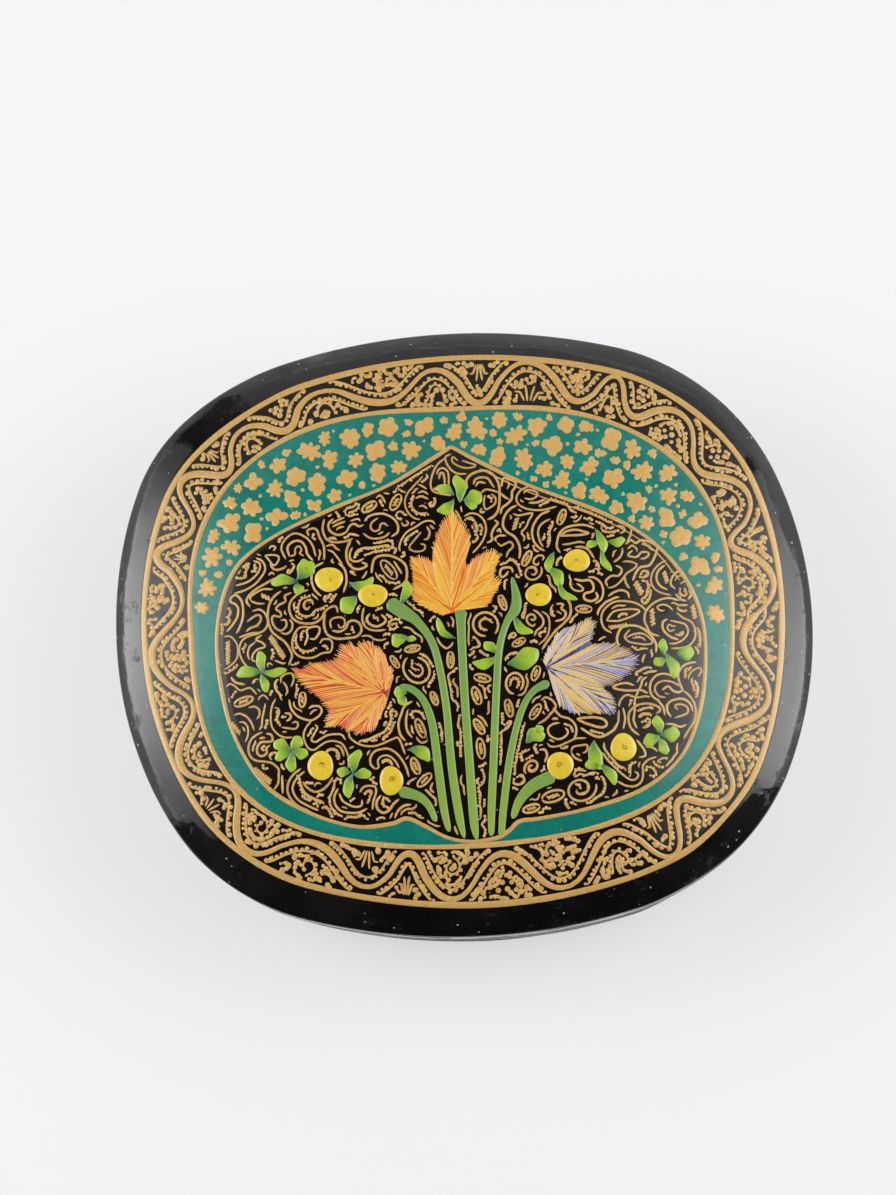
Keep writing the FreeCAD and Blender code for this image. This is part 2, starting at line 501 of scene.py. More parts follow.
def lid_board_grid():
    """The board's loops: ceiling, lip, bevel and crown, from the middle below to the middle above."""
    turn = top_turns[:, None]
    loops = []
    for share in (0.0, 0.35, 0.7, 0.95):
        x, y = outline(turn, 0)
        loops.append(np.stack([x * share, y * share, np.full_like(x, board_low.z)], -1))
    for inset, rise in ((lip_round, 0), (0, lip_round), (0, lip_height / 2), (0, lip_height - 0.2 * mm)):
        x, y = outline(turn, draft(board_low.z + rise) + inset)
        loops.append(np.stack([x, y, np.full_like(x, board_low.z + rise)], -1))
    width_share, drop_share = bevel_curve(np.concatenate([[0.035], np.linspace(0, 1, 25)[2:]]))
    lean = draft(board_low.z + lip_height)
    x, y = outline(turn, lean + (bevel_width(turn) - lean) * width_share)
    edge_x, edge_y = outline(turn, bevel_width(turn))
    foot = board_low.z + lip_height
    z = foot + (lid_top(edge_x, edge_y) - foot) * drop_share
    uneven = ripple(x, y, z) * np.sin(np.pi * drop_share) * bevel_sanding
    chip = chip_depth * bump(turn, chip_turn, chip_size) * np.exp(-(drop_share / 0.25) ** 2)
    x, y = x + (uneven - chip) * np.cos(turn), y + (uneven - chip) * np.sin(turn)
    loops.append(np.stack([x, y, z], -1))
    share = 1 - np.linspace(0, 1, 56)[1:] ** 1.25
    x, y = edge_x * share, edge_y * share
    loops.append(np.stack([x, y, lid_top(x, y)], -1))
    return np.concatenate(loops, 1)


lid_board = closed_disc("lid_top", lid_board_grid(), lid_lacquer, "lid")
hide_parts("lid_board")

# Painted ground
# Inside the gold lines the black is a second coat, browner than the lacquer and soft at its edge.
# It takes the border's vine, and it lies as thin as paint does, with the lacquer film over it.
border_inset = 0.35 * mm
ground_lift = 0.012 * mm
patch_step = 0.006 * mm
patch_sink = 0.02 * mm
patch_underside = -0.05 * mm


def plates(name, centres, outlines, shares, lift, material, crown=0.0, along=None):
    """Flat patches of paint on the lid's top, one for each centre and outline about it.

    Each outline is drawn towards its centre in rings at the given shares. The first ring is sunk
    below lift, and lies no higher than the ground. The others lie at lift over the lid's top, and
    rise by crown to the middle. One point closes the middle and one the underside. Each patch lies a
    hair higher than the one before. For its paint, a point carries the value along, or else the
    share of the ring that it lies in.
    """
    centres, outlines = np.atleast_2d(centres), np.asarray(outlines)
    count, points = outlines.shape[:2]
    rings = len(shares)
    flat = centres[:, None, None] + outlines[:, None] * np.asarray(shares)[None, :, None, None]
    flat = flat.reshape(count, rings * points, 2)
    flat = np.concatenate([flat, centres[:, None], centres[:, None]], 1)
    shares = np.asarray(shares)
    rise = np.append(np.repeat(lift + crown * (1 - shares ** 2), points), [lift + crown, 0])
    rise = rise[None] + np.linspace(0, patch_step, count)[:, None]
    rise[:, :points] = min(lift - patch_sink, ground_lift)
    rise[:, -1] = patch_underside
    x, y = flat[..., 0], flat[..., 1]
    vertices = np.stack([x, y, lid_top(x, y) + rise], -1).reshape(-1, 3)
    i = np.arange(points)
    next_i = (i + 1) % points
    ring = np.arange(rings - 1)[:, None] * points
    quads = np.stack([ring + i, ring + next_i, ring + points + next_i, ring + points + i], -1).reshape(-1, 4)
    last = (rings - 1) * points
    middle = rings * points
    top = np.stack([last + i, last + next_i, np.full(points, middle)], -1)
    under = np.stack([next_i, i, np.full(points, middle + 1)], -1)
    step = np.arange(count)[:, None, None] * (middle + 2)
    faces = [(part[None] + step).reshape(-1, part.shape[1]) for part in (quads, top, under)]
    if along is None:
        along = np.broadcast_to(np.append(np.repeat(shares, points), (0, 1)), (count, middle + 2))
    else:
        middle_along = along.mean(1)[:, None, None]
        along = middle_along + (along[:, None] - middle_along) * shares[:, None]
        along = np.hstack([along.reshape(count, -1), np.repeat(along.mean((1, 2))[:, None], 2, 1)])
    shade = np.repeat(np.random.default_rng(count).uniform(0, 1, count), along.shape[1])
    return new_piece(name, vertices, faces, material, "lid", {"along": along.ravel(), "shade": shade})


def paint(name, tones, gloss=0.42, fleck_scale=2.4, brush=0.25, raised=0.02, speckle=0.0, tone_by=None,
          metal=0.0, sheen=0.1):
    """Opaque paint under lacquer, with a relief raised in millimetres.

    Its tones are colours as they look on a screen. They follow one another in brushed patches, or
    along the value that tone_by names.
    """
    material, tree, shader = new_material(name)
    place = add(tree, "ShaderNodeTexCoord").outputs["Object"]
    film = use_group(tree, lacquer_film, Place=place, Rubbed=0.6, Dusty=0.35)
    place = in_millimetres(tree, place)
    patches = noise(tree, place, brush, 4, 0.6)
    flecks = noise(tree, place, fleck_scale, 3, 0.7)
    share = math(tree, "MULTIPLY_ADD", flecks, 0.5, math(tree, "MULTIPLY", patches, 0.5))
    if tone_by:
        value = add(tree, "ShaderNodeAttribute", attribute_name=tone_by).outputs["Fac"]
        place_on_ramp = math(tree, "ADD", value, span(tree, share, 0.3, 0.7, -0.12, 0.12))
    else:
        place_on_ramp = span(tree, share, 0.4, 0.62)
    ramp = add(tree, "ShaderNodeValToRGB", {0: place_on_ramp})
    stops = ramp.color_ramp.elements
    stops[0].color, stops[1].color = colour(*tones[0]), colour(*tones[-1])
    for number, tone in enumerate(tones[1:-1], 1):
        stops.new(number / (len(tones) - 1)).color = colour(*tone)
    tint = ramp.outputs["Color"]
    if speckle:
        spark = span(tree, noise(tree, place, 9.0, 1), 0.6, 0.72, 0.0, speckle)
        tint = mixed(tree, spark, tint, colour(255, 232, 178))
    tint = mixed(tree, math(tree, "MULTIPLY", film["Dust"], 0.5), tint, colour(215, 215, 210))
    shader.inputs["Specular IOR Level"].default_value = sheen
    shader.inputs["Coat Roughness"].default_value = 0.07
    shader.inputs["Metallic"].default_value = metal
    tree.links.new(span(tree, film["Dull"], 0.0, 1.0, 1.0, 0.3), shader.inputs["Coat Weight"])
    roughness = math(tree, "MULTIPLY_ADD", flecks, 0.2, gloss - 0.1)
    height = math(tree, "MULTIPLY_ADD", flecks, 0.5, film["Height"])
    dress_shader(tree, shader, tint, roughness, height, raised * mm, 0.6)
    return material


ground_tones = [(9, 5, 3), (19, 11, 6)]
ground_paint = paint("ground_paint", ground_tones, gloss=0.4, fleck_scale=1.6, sheen=0.0)
ring_turns = full_turn(480)
ground_edge = np.stack(outline(ring_turns, bevel_width(ring_turns) + border_inset), -1)
ground_shares = np.concatenate([[1.0], np.linspace(0.997, 0.03, 44)])
plates("border_ground", (0, 0), [ground_edge], ground_shares, ground_lift, ground_paint)

# Teal field
# A flat oval of green-blue paint covers the middle of the lid. It shows as a deep band above the
# arch and as a narrow one round the rest, with streaks where the brush has turned.
field_half_width = 38.4 * mm
field_half_depth = 31.3 * mm
field_middle = np.array([-0.5, 0.3]) * mm
field_fullness = 2.7
field_lift = 0.022 * mm


def around(radius, turn):
    """Points that lie a radius away, in the directions turn."""
    return np.stack([radius * np.cos(turn), radius * np.sin(turn)], -1)


def field_edge(turn, grow=0.0):
    """The field's outline: a full oval whose two shares, each to the fullness, add up to one."""
    across = np.abs(np.cos(turn) / (field_half_width + grow)) ** field_fullness
    along = np.abs(np.sin(turn) / (field_half_depth + grow)) ** field_fullness
    radius = (across + along) ** (-1 / field_fullness)
    uneven = 1 + 0.004 * np.sin(3 * turn + 1) + 0.003 * np.sin(7 * turn)
    return around(radius * uneven, turn)


teal_tones = [(0, 98, 86), (0, 112, 99)]
teal_paint = paint("teal_paint", teal_tones, gloss=0.35, fleck_scale=0.8, brush=0.12, raised=0.006)
field_shares = np.concatenate([[1.0], np.linspace(0.996, 0.03, 40)])
plates("teal_field", field_middle, [field_edge(ring_turns)], field_shares, field_lift, teal_paint)

# Arch panel
# The niche, a black panel with a pointed arch above and a dip at its foot where the stems rise. It
# is painted over the teal, and filled later with gold scrolls.
panel_middle = np.array([-0.5, -4.0]) * mm
panel_points = np.array([
    (-0.8, 26.0), (3.0, 23.7), (10.0, 19.9), (20.0, 15.6), (26.6, 11.6), (31.2, 6.4), (33.7, 0.5),
    (34.1, -6.0), (32.9, -13.5), (30.0, -19.8), (24.5, -24.2), (17.0, -26.6), (10.0, -27.8),
    (6.9, -28.1), (5.4, -29.3), (3.6, -30.3), (0.0, -30.7), (-3.4, -30.0), (-6.6, -28.2),
    (-9.0, -27.1), (-11.4, -27.8), (-16.5, -27.9), (-23.0, -25.6), (-29.0, -21.4), (-33.0, -14.5),
    (-34.8, -7.0), (-35.2, 0.0), (-34.0, 6.0), (-31.4, 10.6), (-26.0, 14.3), (-18.0, 17.7),
    (-10.0, 20.7), (-3.6, 24.3),
]) * mm
panel_lift = 0.034 * mm


def respaced(path, spacing):
    """A path's points again, evenly spaced along its length."""
    steps = np.hypot(*np.diff(path[:, :2], axis=0).T)
    length = np.concatenate([[0], np.cumsum(steps)])
    at = np.linspace(0, length[-1], max(int(np.ceil(length[-1] / spacing)), 2) + 1)
    return np.stack([np.interp(at, length, column) for column in path.T], -1)


def smooth_path(points, spacing=0.25 * mm, closed=False):
    """A curve through given points, evenly spaced along its length.

    Each stretch is the cubic whose slope at a point is half the step between that point's
    neighbours. An open curve is carried on in line past its ends.
    """
    p = np.asarray(points, float)
    if closed:
        ends = np.vstack([p[-1], p, p[:2]])
    else:
        ends = np.vstack([2 * p[0] - p[1], p, 2 * p[-1] - p[-2]])
    a, b, c, d = ends[:-3], ends[1:-2], ends[2:-1], ends[3:]
    t = np.linspace(0, 1, 16, endpoint=False)[:, None, None]
    curve = 2 * b + (c - a) * t + (2 * a - 5 * b + 4 * c - d) * t ** 2 + (3 * b - 3 * c + d - a) * t ** 3
    curve = (curve / 2).transpose(1, 0, 2).reshape(-1, p.shape[1])
    return respaced(np.vstack([curve, c[-1]]), spacing)


# The arch comes to a point, so its curve starts and ends there
panel_loop = smooth_path(np.vstack([panel_points, panel_points[:1]]), 0.4 * mm)
panel_edge = panel_loop[:-1] - panel_middle
panel_shares = np.concatenate([[1.0], np.linspace(0.996, 0.03, 36)])
plates("arch_panel", panel_middle, [panel_edge], panel_shares, panel_lift, ground_paint)

# Gold outlines
# Bronze powder in varnish, drawn with a fine brush: one line along the bevel's edge, one round the
# teal field and one round the arch panel, with a hair line inside the arch.
line_rise = 0.016 * mm
stroke_sink = 0.006 * mm
thin_across = ((-1, 0), (0, 1), (1, 0))
broad_across = ((-1, 0), (-0.8, 0.85), (0, 1), (0.8, 0.85), (1, 0))


def brushed(length, width, wobble, rng):
    """A stroke's width along its length: even, with the slow swell of a loaded brush."""
    steps = np.arange(length)
    return width * (1 + wobble * np.sin(steps * rng.uniform(0.05, 0.2) + rng.uniform(0, 6)))


def tapered(width, ends=3):
    """A stroke's width, drawn to a rounded tip over its first and last points."""
    place = np.arange(len(width))
    near = np.minimum(place, place[::-1])
    return width * np.sqrt(np.clip((near + 0.25) / ends, 0, 1))


def rightward(way):
    """Unit steps at right angles to steps along a path, to its right."""
    way = way / np.maximum(np.hypot(*way.T), 1e-9)[:, None]
    return np.stack([way[:, 1], -way[:, 0]], -1)


def stroke_mesh(path, width, lift, rise, across, closed=False):
    """Points, their heights over the lid's top, and the faces of one brush stroke.

    At each point of the path stand the points across: shares of half the width to the side, and of
    the rise. The outermost are sunk below lift, and faces there close the stroke.
    """
    ahead, behind = np.roll(path, -1, 0), np.roll(path, 1, 0)
    if not closed:
        ahead[-1], behind[0] = path[-1], path[0]
    side = rightward(ahead - behind)
    across = np.asarray(across, float)
    flat = path[:, None] + side[:, None] * (across[None, :, :1] * width[:, None, None] / 2)
    height = np.where(across[:, 1] > 0, lift + rise * across[:, 1], lift - stroke_sink)
    vertices = np.dstack([flat, np.broadcast_to(height, flat.shape[:2])]).reshape(-1, 3)
    wide, long = len(across), len(path)
    faces = ring_faces(wide, long)
    if closed:
        return vertices, [faces]
    faces = faces[: (long - 1) * wide]
    i = np.arange(1, wide - 1)
    start = np.stack([np.zeros_like(i), i, i + 1], -1)
    return vertices, [faces, start, (start + (long - 1) * wide)[:, ::-1]]


def stroke_piece(name, strokes, lift, rise, material, across=thin_across, closed=False):
    """One piece from many strokes, each a path, its width and its shade.

    The piece carries each point's place along its stroke and its stroke's shade, for its paint.
    """
    vertices, parts, along, shade, count = [], [], [], [], 0
    for path, width, tone in strokes:
        points, faces = stroke_mesh(path, width, lift, rise, across, closed)
        vertices.append(points)
        parts.extend(part + count for part in faces)
        along.append(np.repeat(np.linspace(0, 1, len(path)), len(across)))
        shade.append(np.full(len(points), tone))
        count += len(points)
    vertices = np.vstack(vertices)
    vertices[:, 2] += lid_top(*vertices[:, :2].T)
    values = {"along": np.concatenate(along), "shade": np.concatenate(shade)}
    return new_piece(name, vertices, parts, material, "lid", values)


gold_tones = [(164, 123, 50), (184, 144, 68)]
gold_paint = paint("gold_paint", gold_tones, gloss=0.5, fleck_scale=3.2, brush=0.3, raised=0.03,
                   speckle=0.6, tone_by="shade", metal=0.1, sheen=0.6)
line_rng = np.random.default_rng(21)
outer_line_width = 0.85 * mm
field_line_width = 0.72 * mm
panel_line_width = 0.55 * mm
arch_hair_width = 0.2 * mm
outer_line_inset = 0.42 * mm
field_line_out = 0.15 * mm
outer_line = np.stack(outline(ring_turns, bevel_width(ring_turns) + outer_line_inset), -1)
field_line = field_edge(ring_turns, field_line_out) + field_middle
arch_hair = smooth_path(np.array([(3.2, 22.6), (10, 18.9), (20, 14.7), (27, 10.2), (31, 5.2)]) * mm)
closed_lines = [
    (outer_line, brushed(len(outer_line), outer_line_width, 0.07, line_rng), 0.5),
    (field_line, brushed(len(field_line), field_line_width, 0.1, line_rng), 0.5),
]
panel_line = [
    (panel_loop, brushed(len(panel_loop), panel_line_width, 0.12, line_rng), 0.5),
    (arch_hair, tapered(brushed(len(arch_hair), arch_hair_width, 0.1, line_rng)), 0.5),
]
stroke_piece("gold_lines", closed_lines, field_lift, line_rise, gold_paint, broad_across,
             closed=True)
stroke_piece("gold_arch_line", panel_line, panel_lift, line_rise, gold_paint, broad_across)

# Vine border
# A wavy gold stem runs round the black band and nears both lines in turn. Each bay that it leaves
# holds a scalloped arch over a curl, fan or sprig, and lumpy freehand lines fill what is left of it.
vine_waves = 19
vine_width = 0.9 * mm
vine_clearance = 0.85 * mm
arch_distance = 1.32 * mm
fine_width = 0.43 * mm
fine_gap = 0.13 * mm
tooth_radius = 0.38 * mm
tooth_step = 0.74 * mm
filler_tooth_step = 0.62 * mm
arch_room = 0.6 * mm
bud_foot = 0.8 * mm
vine_rng = np.random.default_rng(31)
cell = 0.1 * mm
raster_start = np.array([-48.0, -43.0]) * mm
raster_shape = (960, 860)
taken = np.ones(raster_shape, bool)
cell_places = [start + cell * np.arange(count) for start, count in zip(raster_start, raster_shape)]
cell_x, cell_y = np.meshgrid(*cell_places, indexing="ij")


def disc_cells(radius):
    """The cells of a disc about its middle cell."""
    n = int(np.ceil(radius / cell))
    i, j = np.mgrid[-n:n + 1, -n:n + 1]
    inside = i ** 2 + j ** 2 <= (radius / cell) ** 2
    return i[inside], j[inside]


def cells_of(points):
    """The raster cells in which points lie."""
    i, j = np.round((np.asarray(points) - raster_start) / cell).astype(int).T
    return np.clip(i, 0, raster_shape[0] - 1), np.clip(j, 0, raster_shape[1] - 1)


def stamp(points, radius):
    """Marks all cells within radius of the points as taken."""
    i, j = cells_of(points)
    di, dj = disc_cells(radius)
    i = np.clip(i[:, None] + di, 0, raster_shape[0] - 1)
    j = np.clip(j[:, None] + dj, 0, raster_shape[1] - 1)
    taken[i, j] = True


def grown_line(start, clearance, rng, longest, tightest, step=0.22 * mm):
    """A line that grows from start through free cells.

    It bends ever more to one side, down to the radius tightest, and swerves away from what is
    taken. It ends where it has no way on, or meets its own earlier part.
    """
    points = [start]
    turn, hand = rng.uniform(0, 2 * np.pi), rng.choice((-1.0, 1.0))
    most = step / (tightest * rng.uniform(0.9, 2.2))
    for number in range(longest):
        bend = hand * most * min(1.0, 0.25 + number / (0.6 * longest))
        for swerve in (0, 0.3, -0.3, 0.65, -0.65, 1.05, -1.05):
            new_turn = turn + bend + swerve
            ahead = points[-1] + step * np.array([np.cos(new_turn), np.sin(new_turn)])
            i, j = cells_of(ahead[None])
            if taken[i[0], j[0]]:
                continue
            if len(points) > 5:
                apart = np.array(points[:-4]) - ahead
                if (apart ** 2).sum(1).min() < clearance ** 2:
                    continue
            break
        else:
            break
        turn = new_turn
        points.append(ahead)
    stamp(np.array(points), clearance)
    return np.array(points)


def fill_lines(width, gap, rng, longest, tightest, shortest):
    """Fills the free cells with grown lines of at least the shortest number of points."""
    strokes = []
    free = np.argwhere(~taken)
    rng.shuffle(free)
    for i, j in free.tolist():
        if taken[i, j]:
            continue
        line = grown_line(raster_start + cell * np.array([i, j]), gap + width, rng, longest, tightest)
        if len(line) >= shortest:
            path = smooth_path(line[::2] if len(line) > 4 else line, 0.24 * mm)
            thick = np.full(len(path), width * rng.uniform(0.85, 1.2))
            strokes.append((path, tapered(thick, 2), rng.uniform()))
    return strokes


def band_middle():
    """The band's middle line, the way outwards from it and half of the band's width.

    The loop between both gold lines is respaced evenly. Each point is then moved to lie halfway
    between the nearest points of the two lines.
    """
    angle = np.linspace(0, 2 * np.pi, 1201)
    edges = (outer_line, field_line)
    radius = sum(np.interp(angle, *polar(edge), period=2 * np.pi) for edge in edges) / 2
    line = respaced(around(radius, angle), 0.25 * mm)[:-1]
    outward = rightward(np.roll(line, -3, 0) - np.roll(line, 3, 0))
    gaps = [np.hypot(*(line[:, None] - edge[None]).transpose(2, 0, 1)).min(1) for edge in edges]
    line = line + outward * ((gaps[0] - gaps[1]) / 2)[:, None]
    return line, outward, (gaps[0] + gaps[1]) / 2


band_line, band_outward, band_half = band_middle()
band_length = np.hypot(*(np.roll(band_line, -1, 0) - band_line).T).sum()
band_places = np.arange(len(band_line)) * band_length / len(band_line)


def on_band(points):
    """Points given as a length along the band and a distance outwards, placed on the lid."""
    along, out = np.asarray(points).T
    columns = [np.interp(along, band_places, c, period=band_length) for c in (*band_line.T, *band_outward.T)]
    return np.stack([columns[0] + columns[2] * out, columns[1] + columns[3] * out], -1)


def half_band(along):
    """Half of the band's width at lengths along it."""
    return np.interp(along, band_places, band_half, period=band_length)


node_steps = vine_rng.uniform(0.62, 1.38, 2 * vine_waves)
node_reach = vine_rng.uniform(0.62, 1.12, 2 * vine_waves)
vine_nodes = np.concatenate([[0], np.cumsum(node_steps)]) * band_length / node_steps.sum()


def vine_out(along):
    """How far outwards the vine lies: a sine between uneven nodes, reaching close to both lines."""
    phase = np.interp(along, vine_nodes, np.arange(2 * vine_waves + 1))
    reach = node_reach[np.floor(phase).astype(int) % (2 * vine_waves)]
    swing = np.sin(phase * np.pi)
    drift = 0.22 * mm * np.sin(along / (2.1 * mm)) * np.sin(along / (7.3 * mm))
    return (half_band(along) - vine_clearance) * reach * swing * (1.15 - 0.15 * swing ** 2) + drift


def spiral(radius, start, sweep, end_share, steps=22):
    """A curl: an arc from the direction start through sweep, drawn in to end_share of its radius."""
    t = np.linspace(0, 1, steps)
    return around(radius * (1 - (1 - end_share) * t), np.radians(start + sweep * t))


def beads_along(path, step, radius, rng, side=0.0):
    """Beads evenly along a path, set off to its side, as rows of x, y and radius."""
    places = respaced(path, step)
    places = places + rightward(np.gradient(places, axis=0)) * side
    places = places + rng.normal(0, 0.22 * radius, places.shape)
    return np.hstack([places, radius * rng.uniform(0.6, 1.25, (len(places), 1))])


def bud_shapes(kind, width, height, rng):
    """What grows in a bay, upright on the origin: lists of paths and of rows of beads."""
    if kind == 0:
        curl = spiral(0.27 * height, -80, 330, 0.4) + (0, 0.4 * height)
        return [curl], [beads_along(curl, tooth_step, 0.8 * tooth_radius, rng, 0.22 * mm)]
    if kind == 1:
        t = np.linspace(0, np.pi, 16)
        arch = np.stack([-0.24 * width * np.cos(t), 0.12 * height + 0.52 * height * np.sin(t)], -1)
        return [arch], [beads_along(arch, tooth_step, tooth_radius, rng, -0.2 * mm)]
    if kind == 2:
        leans = np.array((-0.34, -0.12, 0.1, 0.34))
        rows = [np.array([(0.3 * lean * width, 0.05 * height), (0.62 * lean * width, 0.35 * height),
                          (lean * width, (0.7 - abs(lean)) * height)]) for lean in leans]
        return rows, []
    if kind == 3:
        stem = smooth_path(np.array([(-0.1, 0), (0.08, 0.2), (-0.05, 0.42), (0.06, 0.66)]) * height)
        sides = [beads_along(stem, filler_tooth_step, tooth_radius, rng, side * mm) for side in (0.3, -0.3)]
        return [stem], sides
    lobes = np.array([(-0.22, 0.2), (-0.1, 0.4), (0.02, 0.58), (0.14, 0.38), (0.24, 0.18), (0.02, 0.22)])
    return [], [np.hstack([lobes * (width, height), rng.uniform(0.3, 0.48, (6, 1)) * mm])]


def bay_shapes(number):
    """The arch and the bud of one bay, as paths and beads in places along and across the band."""
    left, right = vine_nodes[number], vine_nodes[number + 1]
    middle, width = (left + right) / 2, right - left
    side = 1 if number % 2 == 0 else -1
    along = np.linspace(left - 0.45 * width, right + 0.45 * width, 80)
    vine = np.stack([along, vine_out(along)], -1)
    arch = vine + rightward(np.gradient(vine, axis=0)) * side * arch_distance
    room = half_band(arch[:, 0]) + side * arch[:, 1]
    arch = arch[(room > arch_room) & (np.abs(arch[:, 0] - middle) < 0.8 * width)]
    paths, beads = [arch], [beads_along(arch, tooth_step, tooth_radius, vine_rng, -side * 0.26 * mm)]
    foot = -side * (half_band(middle) - bud_foot)
    height = abs(side * (half_band(middle) - vine_clearance - arch_distance) - foot)
    kind = vine_rng.integers(0, 5)
    for shapes, kept in zip(bud_shapes(kind, 0.7 * width, height, vine_rng), (paths, beads)):
        for shape in shapes:
            placed = shape.copy()
            placed[:, 0] += middle
            placed[:, 1] = foot + side * shape[:, 1]
            kept.append(placed)
    return paths, beads


def inside_field(x, y, margin):
    """Whether points lie inside the teal field by more than margin."""
    across = np.abs((x - field_middle[0]) / (field_half_width - margin)) ** field_fullness
    return across + np.abs((y - field_middle[1]) / (field_half_depth - margin)) ** field_fullness < 1


def stroke_from(path, width, rng):
    """A stroke along a path, of about the given width and a shade of its own."""
    path = respaced(path, 0.26 * mm)
    return path, tapered(np.full(len(path), width * rng.uniform(0.85, 1.2)), 2), rng.uniform()


vine_along = np.linspace(0, band_length, 1400, endpoint=False)
vine_path = on_band(np.stack([vine_along, vine_out(vine_along)], -1))
stroke_piece("vine", [(vine_path, brushed(len(vine_path), vine_width, 0.26, vine_rng), 0.4)],
             ground_lift, line_rise, gold_paint, broad_across, closed=True)
taken[:] = np.hypot(cell_x, cell_y) >= radius_at(cell_x, cell_y, top_rim)
taken |= inside_field(cell_x, cell_y, 0)
for line, margin in ((outer_line, 0.8), (field_line, 0.72), (vine_path, 1.0)):
    stamp(line, margin * mm)
bay_strokes, bay_beads = [], []
for number in range(2 * vine_waves):
    paths, beads = bay_shapes(number)
    for path in paths:
        stroke = stroke_from(on_band(path), fine_width, vine_rng)
        bay_strokes.append(stroke)
        stamp(stroke[0], fine_width + fine_gap)
    for rows in beads:
        placed = np.hstack([on_band(rows[:, :2]), rows[:, 2:]])
        bay_beads.append(placed)
        stamp(placed[:, :2], tooth_radius + fine_width / 2)
lines = fill_lines(fine_width, fine_gap, vine_rng, longest=12, tightest=0.6 * mm, shortest=3)
for path, width, shade in lines:
    aside = vine_rng.uniform(-0.16, 0.16) * mm
    bay_beads.append(beads_along(path, filler_tooth_step, tooth_radius, vine_rng, aside))
stroke_piece("vine_bays", bay_strokes + lines, ground_lift, line_rise, gold_paint)


def dots(name, rows, lift, material, points=6):
    """Small domes of paint, from rows of x, y and radius."""
    rows = np.asarray(rows)
    outlines = around(1, full_turn(points))[None] * rows[:, 2, None, None]
    return plates(name, rows[:, :2], outlines, (1.0, 0.7), lift, material, crown=0.008 * mm)


bead_lift = 0.014 * mm
dots("vine_beads", np.vstack(bay_beads), ground_lift + bead_lift, gold_paint)

# Gold spots
# The teal above the arch is sprinkled with small gold flowers, each a loaded brush pressed and
# turned, with dots between them. They lie about three to the band's width and stop at its sides.
spot_rng = np.random.default_rng(41)
spot_gap = 0.3 * mm
spot_lowest = np.array([(-40, 3.2), (0, 12), (40, -1.2)]) * mm
panel_rim = polar(panel_edge)


def inside_panel(x, y, margin):
    """Whether points lie inside the arch panel by more than margin."""
    dx, dy = x - panel_middle[0], y - panel_middle[1]
    return np.hypot(dx, dy) < radius_at(dx, dy, panel_rim) - margin


def scattered(radii, gap, rng):
    """Centres for discs of the given radii, tried at random over the upper teal without touching."""
    kept = np.zeros((0, 3))
    for radius in radii:
        x, y = rng.uniform(-38, 38, 400) * mm, rng.uniform(-2, 31.5, 400) * mm
        fits = inside_field(x, y, radius + 0.45 * mm) & ~inside_panel(x, y, -radius - 0.5 * mm)
        fits &= y > np.interp(x, *spot_lowest.T)
        x, y = x[fits], y[fits]
        apart = np.hypot(x[:, None] - kept[None, :, 0], y[:, None] - kept[None, :, 1])
        free = (apart > radius + kept[None, :, 2] + gap).all(1)
        if free.any():
            kept = np.vstack([kept, (x[free][0], y[free][0], radius)])
    return kept


def spot_outlines(radii, rng, points=36):
    """Pressed-brush flowers: four to seven round lobes, as roots of a cosine, drawn out to one side."""
    turn = full_turn(points)[None]
    count = (len(radii), 1)
    lobes = rng.integers(4, 8, count)
    petals = np.abs(np.cos(lobes * turn / 2 + rng.uniform(0, 6, count))) ** 0.7
    depth = rng.uniform(0.25, 0.6, count)
    reach = 1.1 - depth * (1 - petals)
    reach += rng.uniform(0.0, 0.2, count) * np.cos(2 * turn + rng.uniform(0, 6, count))
    reach += rng.uniform(0.0, 0.16, count) * np.cos(3 * turn + rng.uniform(0, 6, count))
    reach += rng.uniform(-0.03, 0.03, (len(radii), points))
    reach *= radii[:, None]
    return around(reach, turn)


# Each size: its least and its largest radius in millimetres, and how many spots are tried
spot_ranges = ((1.2, 1.6, 60), (0.95, 1.2, 90), (0.5, 0.8, 70), (0.2, 0.32, 25))
spot_sizes = np.concatenate([spot_rng.uniform(*bounds) for bounds in spot_ranges]) * mm
spots = scattered(spot_sizes, spot_gap, spot_rng)
spot_tones = [(188, 138, 56), (186, 142, 64), (172, 144, 78)]
spot_paint = paint("spot_paint", spot_tones, gloss=0.5, fleck_scale=3.4, brush=0.9, speckle=0.5,
                   tone_by="along", metal=0.1, sheen=0.5)
plates("gold_spots", spots[:, :2], spot_outlines(spots[:, 2], spot_rng), (1.0, 0.86, 0.5),
       field_lift + 0.01 * mm, spot_paint, crown=0.004 * mm)

# Stems and small leaves
# Seven green stems rise from the dip in the panel's foot. The small leaves are single dabs of the
# same green, in ones to fives, bright at the tip and dark at the base where blue was wet.
stem_lift = panel_lift + 0.006 * mm
stem_rise = 0.02 * mm
